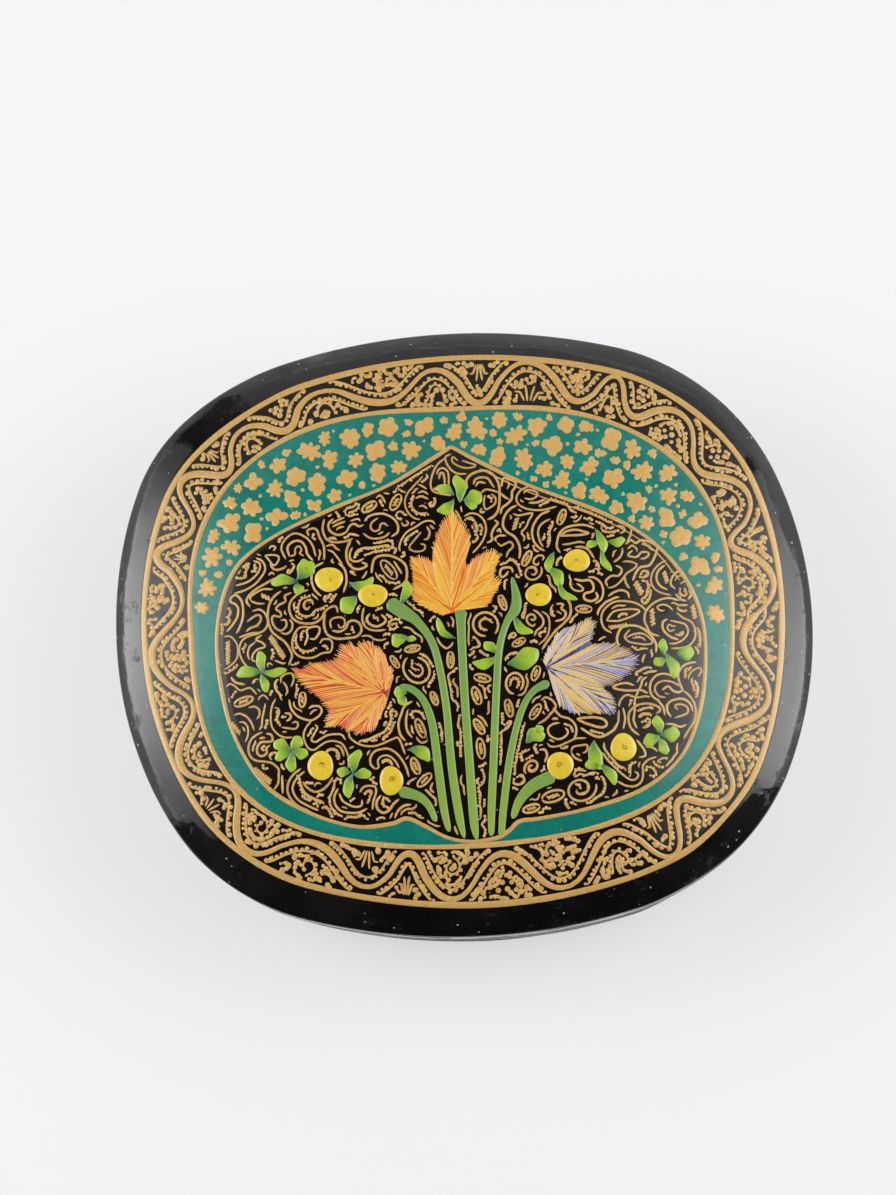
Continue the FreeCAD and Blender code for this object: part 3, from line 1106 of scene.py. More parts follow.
# Each stem: points of x, y and width in millimetres, from its foot to its head
stems = [
    [(-3.1, -29.2, 0.7), (-3.7, -26, 1.1), (-4.3, -20, 1.15), (-4.9, -14, 1.1), (-6.0, -10.6, 1.0),
     (-7.6, -8.9, 1.0), (-9.4, -8.4, 0.9)],
    [(-1.0, -30.2, 0.5), (-1.6, -27, 1.15), (-2.4, -20, 1.15), (-2.9, -11, 1.05), (-4.2, -3.2, 1.05),
     (-6.4, 0.6, 1.3), (-8.7, 2.4, 2.0), (-10.6, 3.8, 2.0)],
    [(0.8, -30.6, 0.4), (0.45, -28, 1.2), (0.15, -20, 1.2), (-0.2, -10, 1.15), (-0.3, 0, 1.3),
     (-0.2, 2.2, 2.2)],
    [(2.8, -30.0, 0.8), (3.0, -26, 1.1), (3.5, -20, 1.1), (4.3, -10, 1.05), (5.0, -3.6, 1.0),
     (6.2, 0.1, 1.0), (7.4, 1.8, 1.5), (7.7, 3.6, 1.3), (7.2, 6.6, 0.5)],
    [(4.2, -30.1, 0.9), (4.7, -26, 1.05), (5.9, -19, 1.0), (7.6, -13, 0.95), (9.4, -10, 0.95),
     (11.8, -8.7, 1.4)],
    [(5.9, -27.7, 0.8), (7.0, -25.2, 1.3), (9.0, -23.2, 1.7), (12.0, -21.9, 1.9)],
    [(-4.9, -27.7, 0.8), (-5.8, -25.5, 1.0), (-7.2, -24.1, 1.3), (-9.9, -23.2, 1.7)],
]
green_tones = [(128, 152, 62), (114, 145, 62), (104, 137, 68)]
green_paint = paint("green_paint", green_tones, gloss=0.38, fleck_scale=1.2, brush=0.2, tone_by="along")
stem_paths = []
for stem in stems:
    path = smooth_path(np.array(stem) * mm, 0.3 * mm)
    stem_paths.append((path[:, :2], tapered(path[:, 2], 2), 0.5))
stroke_piece("stems", stem_paths, stem_lift, stem_rise, green_paint, broad_across)

# Each dab: x and y of its base, x and y of its tip, its width and its bend, in millimetres
dabs = np.array([
    (0.2, 17.6, -0.3, 21.9, 1.9, 0.1), (-0.6, 18.4, -3.2, 16.6, 1.7, -0.2),
    (-0.5, 18.8, -3.2, 20.2, 1.5, 0.1), (0.6, 18.0, 3.4, 18.9, 2.5, 0.1), (0.8, 17.9, 2.6, 16.9, 1.3, 0.0),
    (-23.6, 7.4, -22.3, 10.6, 2.4, 0.2), (-23.2, 8.4, -20.9, 9.9, 1.9, 0.1),
    (-23.2, 7.2, -27.3, 7.2, 1.7, 0.1), (-23.6, 7.2, -23.1, 5.4, 1.6, 0.0),
    (-16.2, 6.9, -12.4, 7.3, 2.0, 0.3), (-15.0, 4.9, -17.3, 2.6, 2.5, 0.0),
    (-8.9, 3.2, -7.7, 6.8, 1.6, 0.1), (-8.0, -1.2, -10.2, -2.5, 2.0, 0.1),
    (-8.6, -1.6, -6.7, -1.7, 0.9, 0.0), (-0.9, -2.0, -3.7, 1.3, 1.2, -0.2), (7.2, 1.4, 9.9, -1.6, 1.5, 0.2),
    (-8.3, -9.4, -10.2, -9.2, 2.0, 0.0), (-8.6, -9.8, -9.3, -11.1, 1.7, 0.0),
    (13.4, 10.1, 12.4, 7.0, 1.3, 0.1), (12.4, 8.0, 14.2, 4.9, 1.8, -0.1), (13.6, 6.2, 16.4, 2.9, 1.2, 0.2),
    (19.2, 13.3, 20.4, 9.4, 1.4, -0.1), (20.0, 10.4, 21.4, 6.8, 1.1, 0.1),
    (19.8, 11.3, 17.9, 10.6, 1.2, 0.0), (20.9, 11.2, 23.6, 11.4, 1.4, 0.1),
    (4.8, -4.4, 1.0, -5.5, 1.6, -0.2), (4.8, -4.2, 2.8, -2.6, 1.5, 0.0), (5.9, -5.9, 10.6, -4.0, 3.0, 0.1),
    (28.3, -5.6, 28.1, -3.0, 1.3, 0.0), (28.4, -5.0, 29.7, -8.9, 1.7, -0.1),
    (28.6, -6.0, 26.7, -6.6, 1.5, 0.0), (29.9, -5.4, 32.6, -5.1, 2.2, 0.0),
    (27.3, -16.8, 26.7, -13.9, 1.6, 0.0), (27.2, -16.8, 24.7, -17.9, 1.9, 0.0),
    (27.2, -16.8, 30.0, -16.6, 2.2, 0.0), (27.0, -17.0, 28.0, -19.6, 1.5, 0.0),
    (17.8, -17.0, 18.6, -21.4, 2.2, 0.1), (18.8, -20.6, 16.3, -20.6, 1.5, 0.0),
    (18.4, -20.4, 20.6, -23.6, 1.5, -0.1), (8.1, -17.2, 11.0, -16.0, 2.3, -0.2),
    (9.4, -16.0, 10.7, -14.9, 1.4, 0.0), (-28.8, -5.6, -32.6, -5.8, 1.8, 0.1),
    (-28.8, -5.8, -29.1, -2.4, 1.5, 0.0), (-29.2, -5.4, -25.2, -5.3, 1.3, 0.1),
    (-29.0, -5.6, -28.2, -8.5, 1.3, 0.0), (-25.0, -16.9, -27.5, -15.5, 1.9, 0.0),
    (-25.0, -16.9, -23.6, -14.9, 1.8, 0.0), (-25.0, -16.9, -27.4, -18.0, 1.5, 0.0),
    (-25.0, -16.9, -22.6, -17.6, 1.7, 0.0), (-25.0, -16.9, -25.1, -20.0, 1.6, 0.0),
    (-16.4, -20.6, -15.3, -17.1, 1.8, -0.1), (-16.4, -20.6, -13.7, -20.6, 1.6, 0.0),
    (-16.6, -20.3, -18.7, -20.1, 1.5, 0.0), (-16.4, -20.4, -17.1, -24.0, 1.6, 0.1),
    (-8.7, -17.4, -5.4, -19.2, 1.9, -0.2),
])


def dab_outlines(rows, points=13):
    """Centres and outlines of dabs, and how far along its dab each point lies.

    A side bows out as a root of a sine of the eased length, times a small wave, and the whole dab
    bends as a sine.
    """
    start, end = rows[:, 0:2] * mm, rows[:, 2:4] * mm
    t = (1 - np.cos(np.linspace(0, np.pi, points))) / 2
    t = np.concatenate([t, t[-2:0:-1]])[None, :, None]
    sign = np.concatenate([np.ones(points), -np.ones(points - 2)])[None, :, None]
    reach = end - start
    length = np.hypot(*reach.T)[:, None, None]
    side = rightward(reach)[:, None]
    phase = rows[:, :1, None] * 7
    wave = 1 + 0.14 * np.sin(9 * t + phase + 1.3 * sign)
    bow = rows[:, 4, None, None] * mm / 2 * np.sin(np.pi * t ** 1.4) ** 0.6 * wave
    bend = rows[:, 5, None, None] * length * np.sin(np.pi * t)
    flat = start[:, None] + reach[:, None] * t + side * (sign * bow + bend)
    centre = flat.mean(1)
    along = np.broadcast_to(t[..., 0], (len(rows), t.shape[1]))
    return centre, flat - centre[:, None], along


leaf_tones = [(36, 78, 74), (108, 142, 44), (146, 172, 48), (140, 164, 50)]
leaf_paint = paint("small_leaf_paint", leaf_tones, gloss=0.38, fleck_scale=1.2, brush=0.2, tone_by="along")
dab_centres, dab_edges, dab_along = dab_outlines(dabs)
dab_lift = stem_lift + 0.012 * mm
plates("small_leaves", dab_centres, dab_edges, (1.0, 0.93, 0.6), dab_lift, leaf_paint,
       crown=0.004 * mm, along=dab_along)

# Yellow flowers
# Eight round flowers of one thick dab each, with a small curl and dots in brown at the middle.
# Each flower: x and y of its middle, and its half width and half depth, in millimetres
flowers = np.array([
    (-18.9, 7.4, 2.05, 1.8), (-12.7, 4.8, 2.15, 1.65), (16.5, 8.6, 1.95, 1.65), (10.9, 3.9, 1.9, 1.65),
    (-20.9, -19.2, 1.85, 2.1), (-11.0, -21.7, 1.7, 2.1), (12.9, -20.5, 1.9, 1.95), (21.9, -18.3, 1.85, 2.0),
]) * mm
flower_rng = np.random.default_rng(51)
flower_turns = full_turn(40)
flower_edges = around(1, flower_turns)[None] * flowers[:, None, 2:]
flower_edges = flower_edges * (1 + 0.03 * np.sin(3 * flower_turns + flowers[:, :1] / mm))[..., None]
yellow_tones = [(206, 180, 50), (198, 166, 42)]
yellow_paint = paint("yellow_paint", yellow_tones, gloss=0.36, fleck_scale=1.4, brush=0.4, raised=0.012)
flower_lift = stem_lift + 0.028 * mm
plates("flowers", flowers[:, :2], flower_edges, (1.0, 0.95, 0.7, 0.35), flower_lift, yellow_paint,
       crown=0.006 * mm)
brown_paint = paint("brown_paint", [(120, 92, 24), (90, 66, 20)], gloss=0.5, brush=0.3)
mark_width = 0.17
marks = []
for flower in flowers:
    place = flower[:2] + flower_rng.uniform(-0.2, 0.3, 2) * mm
    start = flower_rng.uniform(0, 360)
    share = 1.0 if flower[1] < 0 else 0.55
    curl = place + spiral(0.5 * share * mm, start, 250, 0.4, 12)
    marks.append((curl, np.full(12, mark_width * share * mm), 0.5))
    for turn in flower_rng.uniform(0, 2 * np.pi, 5):
        way = np.array([np.cos(turn), np.sin(turn)])
        dash = place + way * np.array([[0.1], [0.32]]) * share * mm
        marks.append((dash, np.full(2, 0.16 * share * mm), 0.5))
mark_lift, mark_rise = flower_lift + 0.005 * mm, 0.03 * mm
stroke_piece("flower_marks", marks, mark_lift, mark_rise, brown_paint)

# Chinar leaves
# Three plane-tree leaves: a flat ground colour, then hair strokes of gold and a second colour that
# sweep from the veins to the edge. Their ends make the edge jagged.
leaf_lift = panel_lift + 0.014 * mm
stroke_step = 0.35 * mm
vein_angle = np.radians(23)
leaf_rng = np.random.default_rng(61)
# Each leaf is a list of lobes: the foot and the tip of its vein, and then its edge, in millimetres
upper_leaf = [
    [(-1.7, 2.0), (-7.3, 4.4), (-2.8, 1.5), (-4.6, 2.2), (-6.4, 3.3), (-7.3, 4.4), (-7.1, 5.6), (-7.1, 6.5)],
    [(-1.8, 2.6), (-7.2, 10.3), (-7.1, 6.5), (-7.2, 8.2), (-7.2, 10.3), (-6.0, 10.3), (-4.9, 10.1),
     (-4.0, 9.4)],
    [(-1.6, 2.6), (-0.9, 16.9), (-4.0, 9.4), (-4.0, 11.4), (-3.3, 13.6), (-2.4, 15.6), (-0.9, 16.9),
     (0.4, 15.2), (1.5, 13.4), (1.5, 11.8), (0.8, 9.9)],
    [(-1.3, 2.6), (5.7, 10.4), (0.9, 8.6), (2.2, 9.9), (3.7, 10.7), (5.2, 10.9), (5.9, 10.0), (5.3, 8.6),
     (4.8, 7.0)],
    [(-1.2, 2.2), (5.8, 6.0), (4.8, 7.0), (5.8, 6.0), (5.2, 5.0), (4.8, 4.2), (4.2, 3.2), (3.6, 2.5),
     (0.6, 2.2)],
]
left_leaf = [
    [(-11.4, -8.9), (-10.4, -5.9), (-10.5, -8.2), (-10.1, -7.1), (-10.2, -5.9), (-11.0, -5.0),
     (-11.3, -3.6), (-12.2, -2.6)],
    [(-11.7, -8.7), (-13.6, -1.6), (-12.2, -2.6), (-13.0, -1.8), (-14.0, -1.5), (-15.0, -1.8),
     (-15.4, -2.3)],
    [(-11.9, -8.8), (-17.4, -2.0), (-15.4, -2.3), (-16.3, -1.7), (-17.6, -2.0), (-18.1, -3.0),
     (-18.4, -4.0)],
    [(-12.0, -9.0), (-24.6, -5.6), (-18.4, -4.0), (-20.4, -4.3), (-22.2, -4.5), (-23.4, -5.2),
     (-24.8, -5.2), (-23.9, -6.9), (-22.8, -8.0), (-21.6, -9.2), (-20.4, -10.4)],
    [(-11.8, -9.3), (-20.3, -13.6), (-20.4, -10.4), (-19.7, -11.4), (-20.1, -12.4), (-20.3, -13.7),
     (-18.6, -13.8), (-17.2, -14.4)],
    [(-11.6, -9.4), (-15.4, -15.1), (-17.2, -14.4), (-15.6, -15.0), (-14.0, -14.9), (-13.1, -14.4),
     (-12.2, -12.8), (-11.1, -10.4)],
]
right_leaf = [
    [(11.5, -6.3), (13.8, -1.2), (11.0, -5.4), (12.0, -3.6), (13.2, -1.7), (14.6, -0.9), (15.9, -0.5)],
    [(11.8, -6.3), (18.5, 0.1), (15.9, -0.5), (17.2, 0.1), (18.3, 0.5), (18.9, -0.3), (18.7, -1.3),
     (18.2, -2.7)],
    [(12.0, -6.5), (24.7, -5.8), (18.6, -3.4), (20.0, -3.3), (21.6, -3.4), (23.2, -4.2), (24.6, -5.2),
     (24.7, -6.3), (23.9, -7.4), (22.8, -8.4), (21.0, -9.3), (19.6, -9.7)],
    [(12.0, -6.8), (21.1, -12.8), (19.6, -9.7), (20.6, -10.8), (21.3, -11.8), (21.2, -13.0), (20.4, -13.7),
     (18.9, -13.5)],
    [(11.8, -6.9), (15.8, -13.4), (18.9, -13.5), (17.3, -13.4), (15.7, -13.5), (14.4, -13.1), (13.2, -12.3),
     (12.6, -10.6), (12.0, -8.2)],
]


def lobe_strokes(lobe, rng):
    """Strokes of one lobe, given as its vein's two ends and then its edge.

    From every point of the edge, and of the lobe's borders with its neighbours, a stroke runs back
    to the vein, which it meets lower down at the vein angle, or at the vein's foot. It leaves the
    vein bending, and overshoots the edge unevenly.
    """
    points = np.array(lobe) * mm
    foot, tip = points[:2]
    borders = foot + 0.2 * (points[[2, -1]] - foot)
    edge = respaced(np.vstack([borders[:1], points[2:], borders[1:]]), stroke_step)
    way = (tip - foot) / np.hypot(*(tip - foot))
    away = edge - foot
    ahead = away @ way
    aside = np.abs(away @ np.array([-way[1], way[0]]))
    start = np.clip(ahead - aside / np.tan(vein_angle), 0, None) * rng.uniform(0.6, 1.0, len(edge))
    start = foot + way * start[:, None]
    outward = (edge - start) / np.hypot(*(edge - start).T)[:, None]
    end = edge + outward * rng.uniform(-0.3, 0.22, (len(edge), 1)) * mm
    bend = start + way * (np.hypot(*(end - start).T) * 0.42)[:, None]
    t = np.linspace(0, 1, 9)[:, None, None]
    paths = (1 - t) ** 2 * start + 2 * t * (1 - t) * (0.4 * bend + 0.6 * (start + end) / 2) + t ** 2 * end
    return paths.transpose(1, 0, 2)


def hair_width(width):
    """A hair stroke's width over its nine points: thin at the vein, widest late, blunt at its end."""
    return width * np.array([0.5, 0.7, 0.85, 0.95, 1.0, 1.05, 1.0, 0.9, 0.45])


def chinar_leaf(name, lobes, ground, tones, patch, width=0.2 * mm):
    """One leaf: its ground, a fan from the veins' foot to the edge, and its hair strokes above.

    A stroke takes a new tone of its own with the chance patch, and else keeps its neighbour's.
    """
    edge = respaced(np.vstack([np.array(lobe)[2:] for lobe in lobes] + [lobes[0][2]]) * mm, 0.3 * mm)[:-1]
    centre = np.mean([lobe[0] for lobe in lobes], 0) * mm
    if np.cross(edge[0] - centre, edge[5] - centre) < 0:
        edge = edge[::-1]
    ground_colour = paint(name + "_ground", ground, gloss=0.45, fleck_scale=2.0, brush=0.5)
    plates(name + "_ground", centre, [(edge - centre) * 0.97], (1.0, 0.96, 0.7, 0.4, 0.15), leaf_lift,
           ground_colour)
    strokes = []
    for lobe in lobes:
        tone = 0.5
        for path in lobe_strokes(lobe, leaf_rng):
            if leaf_rng.uniform() < patch:
                tone = leaf_rng.uniform()
            shade = np.clip(tone + leaf_rng.uniform(-0.08, 0.08), 0, 1)
            strokes.append((path, hair_width(width * leaf_rng.uniform(0.75, 1.15)), shade))
        vein = np.linspace(lobe[0], 0.12 * np.array(lobe[0]) + 0.88 * np.array(lobe[1]), 9) * mm
        strokes.append((vein, hair_width(1.5 * width), 0.35))
    leaf_rng.shuffle(strokes)
    colours = paint(name + "_strokes", tones, gloss=0.4, fleck_scale=2.6, brush=0.4, tone_by="shade")
    stroke_piece(name + "_strokes", strokes, leaf_lift + 0.01 * mm, stem_rise, colours)
    return edge


leaf_edges = [
    chinar_leaf("chinar_upper", upper_leaf, [(206, 112, 24), (190, 94, 20)],
                [(206, 136, 38), (216, 172, 64), (212, 162, 58), (202, 126, 34)],
                patch=0.4),
    chinar_leaf("chinar_left", left_leaf, [(196, 60, 48), (158, 50, 36)],
                [(200, 84, 60), (212, 166, 76), (210, 152, 66), (204, 124, 52)],
                patch=0.55),
    chinar_leaf("chinar_right", right_leaf, [(84, 88, 136), (44, 42, 64)],
                [(150, 150, 186), (192, 176, 140), (208, 168, 84), (196, 166, 108)],
                patch=0.65, width=0.17 * mm),
]

# Scrollwork
# The rest of the panel is filled with gold hair lines: large open curls with combs and scribbles in
# them, shells, almonds, and freehand lines that each run on while they have room.
scroll_rng = np.random.default_rng(71)
scroll_width = 0.39 * mm
scroll_gap = 0.12 * mm
scroll_tooth_step = 0.5 * mm
panel_margin, stem_margin, shape_margin = 0.72 * mm, 0.38 * mm, 0.4 * mm
taken[:] = ~inside_panel(cell_x, cell_y, panel_margin)
for path, width, shade in stem_paths:
    for part, part_width in zip(path, width):
        stamp(part[None], part_width / 2 + stem_margin)
solid_shapes = list(zip(dab_centres, dab_edges)) + list(zip(flowers[:, :2], flower_edges))
solid_shapes += [(edge.mean(0), edge - edge.mean(0)) for edge in leaf_edges]
for centre, edge in solid_shapes:
    for share in np.linspace(1, 0, int(np.hypot(*edge.T).max() / (0.3 * mm)) + 2):
        stamp(centre + edge * share, shape_margin)
# Points all over a disc, at which a shape's room is tried
probe = np.vstack([around(share, full_turn(24)) for share in (1, 0.75, 0.5, 0.25)])

# Curls read off one by one. Each row is one line: x and y of its points in turn, in millimetres
curls = [
    (-25, 10.6, -25.6, 12.2, -25, 13.5, -23.6, 14.3, -22, 13.6, -21.1, 12.4, -20.7, 10.8),
    (-24.5, 11, -24.7, 12.3, -23.9, 13.1, -22.8, 13.1, -22.1, 12.2, -21.9, 11.2, -21.1, 10.2),
    (-24.5, 11, -23.7, 11.2, -23.6, 12.1, -23, 12.4, -22.7, 11.8, -23, 11.4, -22.4, 10.9),
    (-21.6, 13.8, -21.8, 14.6, -21, 14.9, -20.4, 14.6, -20.1, 13.6, -19.5, 12.2, -19.5, 10.2),
    (-19.3, 16.2, -19.6, 14.9, -19.3, 13.6, -18.6, 12.9, -17.4, 12.7, -16, 12.9, -15.3, 13.2),
    (-18, 16.2, -18.7, 15.5, -18.7, 14.7, -18.2, 14.1, -17.4, 13.8, -16.7, 13.9, -16, 14.3),
    (-18.3, 15.5, -17.5, 15.9, -16.4, 16.3), (-18.2, 15, -17.3, 15.4, -16.3, 15.7),
    (-13.6, 15.6, -12.9, 16.3, -11.8, 16.6, -10.6, 16.5, -9.4, 15.8, -8.8, 14.8, -8.9, 13.8, -9.8, 13.2),
    (-11.6, 16, -12.5, 15.4, -12.7, 14.6, -12.2, 14.1, -11.5, 14.3, -11.3, 15, -10.8, 15.2, -10.2, 14.7),
    (-13.8, 13.9, -13, 13.2, -12, 13, -10.8, 13.2, -10, 13.8),
    (-16.2, 14.2, -15.6, 15.1, -15, 15.3, -14.4, 14.9, -13.7, 15.1),
    (-15.6, 12.9, -16.2, 11.7, -16.3, 10.5, -16, 9.5, -15.3, 8.8, -14.3, 8.7, -13.4, 9.2, -14.2, 9.7),
    (-15.4, 11.9, -15.8, 11, -15.7, 10.1, -14.8, 9.8, -13.8, 10.2),
    (-12.8, 8, -12.6, 9.3, -12.2, 10.2, -11.2, 10.5, -10, 10.4, -8.6, 9.7, -7.8, 8.6, -8, 6.6, -9.8, 5.5),
    (-29.3, 11, -28.4, 10.5, -28, 9.5, -28.3, 8.6, -29.5, 7.2, -31.2, 6.3, -32.5, 6),
    (-29.7, 10.6, -28.8, 10.2, -28.8, 9.3, -29.5, 8.3, -30.7, 7.5, -32.3, 7.1),
    (-28, 11.3, -26.8, 11.3, -26, 11, -26.2, 10.2, -26.8, 9.8, -27.5, 10.7, -28, 11.3),
    (-27.4, 12.2, -27, 12.6, -26.4, 12.4, -26.8, 11.9), (-27.3, 10, -26.7, 9.2, -25.7, 9.2, -24.9, 9.6),
    (-26.4, 8, -28, 7.2, -29.3, 6.5, -30.3, 5.7, -30.8, 4.8, -30.3, 3.9),
    (-16.9, 5.4, -16.4, 7, -16.6, 8.7, -17.5, 9.7), (-19.6, 9.9, -21, 9.1, -21.4, 7.5, -21, 6, -20.1, 5),
    (-19.2, 12.2, -18.3, 12.4, -17.7, 11.8, -17.2, 11.5), (-19, 11.7, -18.2, 11.3, -17.6, 10.5, -16.9, 9.4),
    (-33.8, 0.5, -33, 1.3, -32.2, 2.5, -32, 3.7, -32.4, 4.4, -33.1, 4.8, -32.9, 5.5, -32.2, 5.7, -31.5, 4.8,
     -31.3, 3.3, -31.5, 2, -32, 0.8, -32.4, 0.2),
    (-30, 3.3, -29, 3.5, -28.2, 2.9, -27.8, 1.8, -28.1, 0.8, -28.9, 0.2, -30.3, 0.1, -32, -0.4),
    (-30.8, 1.8, -29.8, 2.5, -29, 2.7, -28.8, 2, -29.4, 1.2, -30.3, 0.9, -31, 0.4),
    (-30.2, 4.8, -30.2, 5.4, -29.3, 6, -28.3, 6.4, -27, 6.3), (-30.2, 4.8, -29.3, 4.4, -28.2, 4.3),
    (-25.8, 6, -26.8, 5.3, -27.5, 4.2, -27.8, 2.8, -27.7, 1.5, -27.3, 0.3, -26.5, -0.5, -25.5, -1.3,
     -24.8, -2.4, -24.5, -3.4, -25, -4.7),
    (-24.3, 5.7, -25.3, 5.3, -25.2, 4.5, -26.2, 4, -26.6, 3.4, -26, 3, -26, 2.3, -27, 2.5, -27.2, 1.8,
     -26.8, 0.8, -26, 0.3, -25.2, 0.9, -25.3, 1.8, -26, 1.8),
    (-24.7, 1.9, -24.3, 1.2, -24.5, 0.3, -25.2, -0.2, -26, 0),
    (-21.9, 6, -23, 5.7, -24.2, 4.8, -24.7, 3.7, -24.5, 2.5, -23.8, 1.6, -22.6, 1.2, -21.2, 1.2, -20.2, 1.8,
     -19.6, 2.8, -18.7, 3.4, -18, 3.4, -17.8, 2.5),
    (-21.3, 3.8, -21.5, 4.5, -22.3, 4.4, -22.6, 3.7, -22.2, 3.2, -21.7, 3.6),
    (-19.6, 2.7, -19.8, 1.3, -19.7, 0.2, -19.2, -0.7, -18, -1.2, -16.6, -1.2, -15.2, -1, -14.5, -0.2,
     -14.7, 0.8, -15.5, 1.3, -16.3, 1.1, -16.7, 0.3, -17.6, -0.2, -18.7, 0),
    (-18.8, 0.3, -18.9, 1.3, -18.3, 1.8, -17.2, 1.8, -16.8, 1.2, -17, 0.5, -17.6, 0.4, -17.8, 0.9),
    (-14.6, -1, -13.5, -1, -12.7, -1.5, -11.8, -1.7, -11, -1.5),
    (-14, 3.1, -14.3, 2, -14.2, 0.8, -13.5, 0, -12.3, -0.3, -11, -0.2),
    (-13.2, 2.2, -13.7, 1.5, -13.3, 0.7, -12.3, 0.3, -11.3, 0.7, -11, 1.3, -11.6, 2),
    (-22, 0.7, -23.3, 0.6, -24, -0.2, -24.4, -1.3, -24.3, -2.5, -23.6, -3.4, -22.5, -3.8, -21.3, -3.7,
     -20.2, -3.2, -19, -3, -18.7, -2, -19, -1.3, -20, -1.2, -20.5, -1.8),
    (-22.7, -2, -22.2, -0.8, -22.3, 0.1, -21.8, 0.6, -20.6, 0.6, -20.5, -0.2, -21.2, -1.1, -21.9, -1),
    (-29, 0, -30.3, -0.2, -31.5, -0.8, -32, -2, -31.8, -3.3, -31, -4.6, -30, -5.2),
    (-28.7, -0.2, -29.6, -0.8, -28.7, -1.3, -28.3, -1.9, -29.3, -2.2, -30, -2.8, -30.2, -3.7, -29.6, -4),
    (-29.7, -1.2, -30.5, -1.8, -30.8, -2.8, -30.6, -3.7),
    (-34.2, -0.2, -33.2, -0.2, -32.4, -1.2, -32.2, -2.3, -32.5, -3.6, -33.5, -4.5, -34.2, -4.9),
    (-33.3, -6, -32.7, -6.8, -31.3, -7.2),
    (-34, -7.4, -33.5, -7, -32.7, -7.4, -32, -8, -30.6, -7.7, -29.7, -8.7),
    (-26.2, -7.2, -26.1, -6.4, -25.3, -5.9, -24.5, -6, -24.4, -7, -24.8, -7.8),
    (-25.9, -7, -25.5, -7.6, -25.3, -8.4, -25.6, -9),
    (-33, -11.5, -32.2, -11.3, -31.2, -11.8, -30.5, -12.8, -30.2, -13.8),
    (-28.5, -10, -28.7, -11, -29, -12.2, -29.1, -13.2, -29.5, -13.8),
    (-30.9, -10.5, -30, -10.4, -29.4, -10.9, -29.4, -11.7, -29.8, -12.2),
    (-32.3, -12.5, -31.6, -12.6, -31.1, -13.3, -31.1, -14.4, -31.5, -15.4),
    (-27, -9.4, -27.6, -10.6, -27.8, -12.2, -27.6, -13.5, -26.8, -14.5, -25.8, -15, -24.7, -15),
    (-26.3, -13.5, -25.3, -13.7, -24.3, -13.8, -23.9, -13.2, -24.2, -12.8, -24.8, -13),
    (-25.8, -11.5, -25, -11.7, -25, -12.3, -25.6, -12.7),
    (-25.1, -9.6, -24.8, -11, -24, -12, -23, -12.5, -22, -12.7, -21, -12.2, -20.5, -11.5, -20.8, -10.8,
     -21.7, -10.7, -22.4, -11),
    (-22, -12.8, -22.8, -13.7, -23.2, -14.8, -23, -15.8, -22.5, -16.7, -21.7, -16.9, -20.8, -16.3,
     -19.8, -15.8, -18.8, -15.8, -17.8, -16.2, -17.2, -17.2, -16.9, -18.4, -17, -19.7),
    (-21.5, -13.3, -21.2, -13.8, -21.7, -14.7, -22.1, -15.5, -21.5, -15.8, -20.6, -15.3, -19.7, -14.9,
     -18.5, -14.8, -17.7, -15, -17.3, -15.7),
    (-29, -14.1, -30, -14.5, -30.8, -15.3, -31.1, -16.5, -30.8, -17.5, -30, -18.1, -28.7, -18.3, -27.7, -18.6,
     -26.9, -19.4, -26.9, -20.4, -27, -21.4, -27.6, -22.3),
    (-28.5, -14.3, -27.8, -14.5, -27.6, -15.3, -28.2, -15.5, -29.2, -15.5, -29.8, -16.2, -29.8, -17.1,
     -29.2, -17.5, -28.5, -17.1, -28.5, -16.4, -28, -16), (-26.4, -20.3, -26.4, -22.9),
    (-23.7, -19.5, -24.7, -20.2, -25.5, -21.3, -25.7, -22.6, -25.2, -23.8, -24.2, -24.8, -22.7, -25.5),
    (-23.2, -19.9, -24.2, -20.7, -24.9, -21.8, -24.9, -22.8, -24.2, -23.9, -23, -24.7, -21.4, -25.5),
    (-23.5, -21.3, -23, -22.1, -22, -22.8, -21, -22.7, -20, -22, -19.2, -20.9),
    (-18.5, -22.5, -19.1, -23.6, -19, -24.8, -18.2, -25.7, -17, -26, -15.7, -26, -14.5, -25.5),
    (-18.4, -23.2, -18, -24.2, -17.2, -24.8, -16.2, -25.2, -15.3, -25, -15.2, -24.2),
    (-15.5, -23.2, -15, -22.5, -14.2, -22.3, -13.3, -22.5, -13.2, -23.3, -13.6, -24.4, -13.8, -25.7),
    (-12.5, -23.7, -13.1, -24.5, -13.1, -25.5, -12.3, -26.2, -11.4, -25.8, -10.8, -25, -10, -24.4),
    (-10.7, -27, -10.2, -26, -9.3, -25.3, -8.3, -25.2),
    (-13.2, -20, -13.8, -19.3, -13.8, -18.3, -13.2, -17.5, -12.2, -17.2, -11.2, -17.2, -10.2, -17.8,
     -9.4, -18.8, -8.8, -20, -8.5, -21.3),
    (-13.2, -20, -12.7, -19.7, -12.8, -18.8, -12.2, -18.2, -11.2, -18.2, -10.3, -19, -9.8, -20),
    (-16.7, -14.5, -16.7, -15.2, -16.2, -15.8, -15.3, -16.4, -14.2, -16.7, -13, -16.7, -11.7, -16.3,
     -10.5, -15.8, -9.8, -15.7, -9.3, -16.8, -8.9, -18.1),
    (-7.6, -10.6, -8.7, -11.2, -9.3, -12.5, -9.7, -13.8, -9.5, -15.2, -8.8, -16.2),
    (-8.3, -11.8, -8.6, -13.2, -8.5, -14.7, -7.8, -15.8),
    (-5, 21.8, -5.6, 21.2, -6.5, 20.3, -7.4, 19.2, -7.7, 17.8, -7.2, 16.5, -6.3, 15.7, -5.6, 15.5),
    (-5.7, 20.7, -5, 20.3, -4.5, 19.9), (-5.8, 19.4, -5, 19.6, -4.3, 19.1),
    (-6.2, 18.6, -5.3, 18.9, -4.3, 18.4), (-5.7, 17.4, -5.1, 17.5, -4.5, 17),
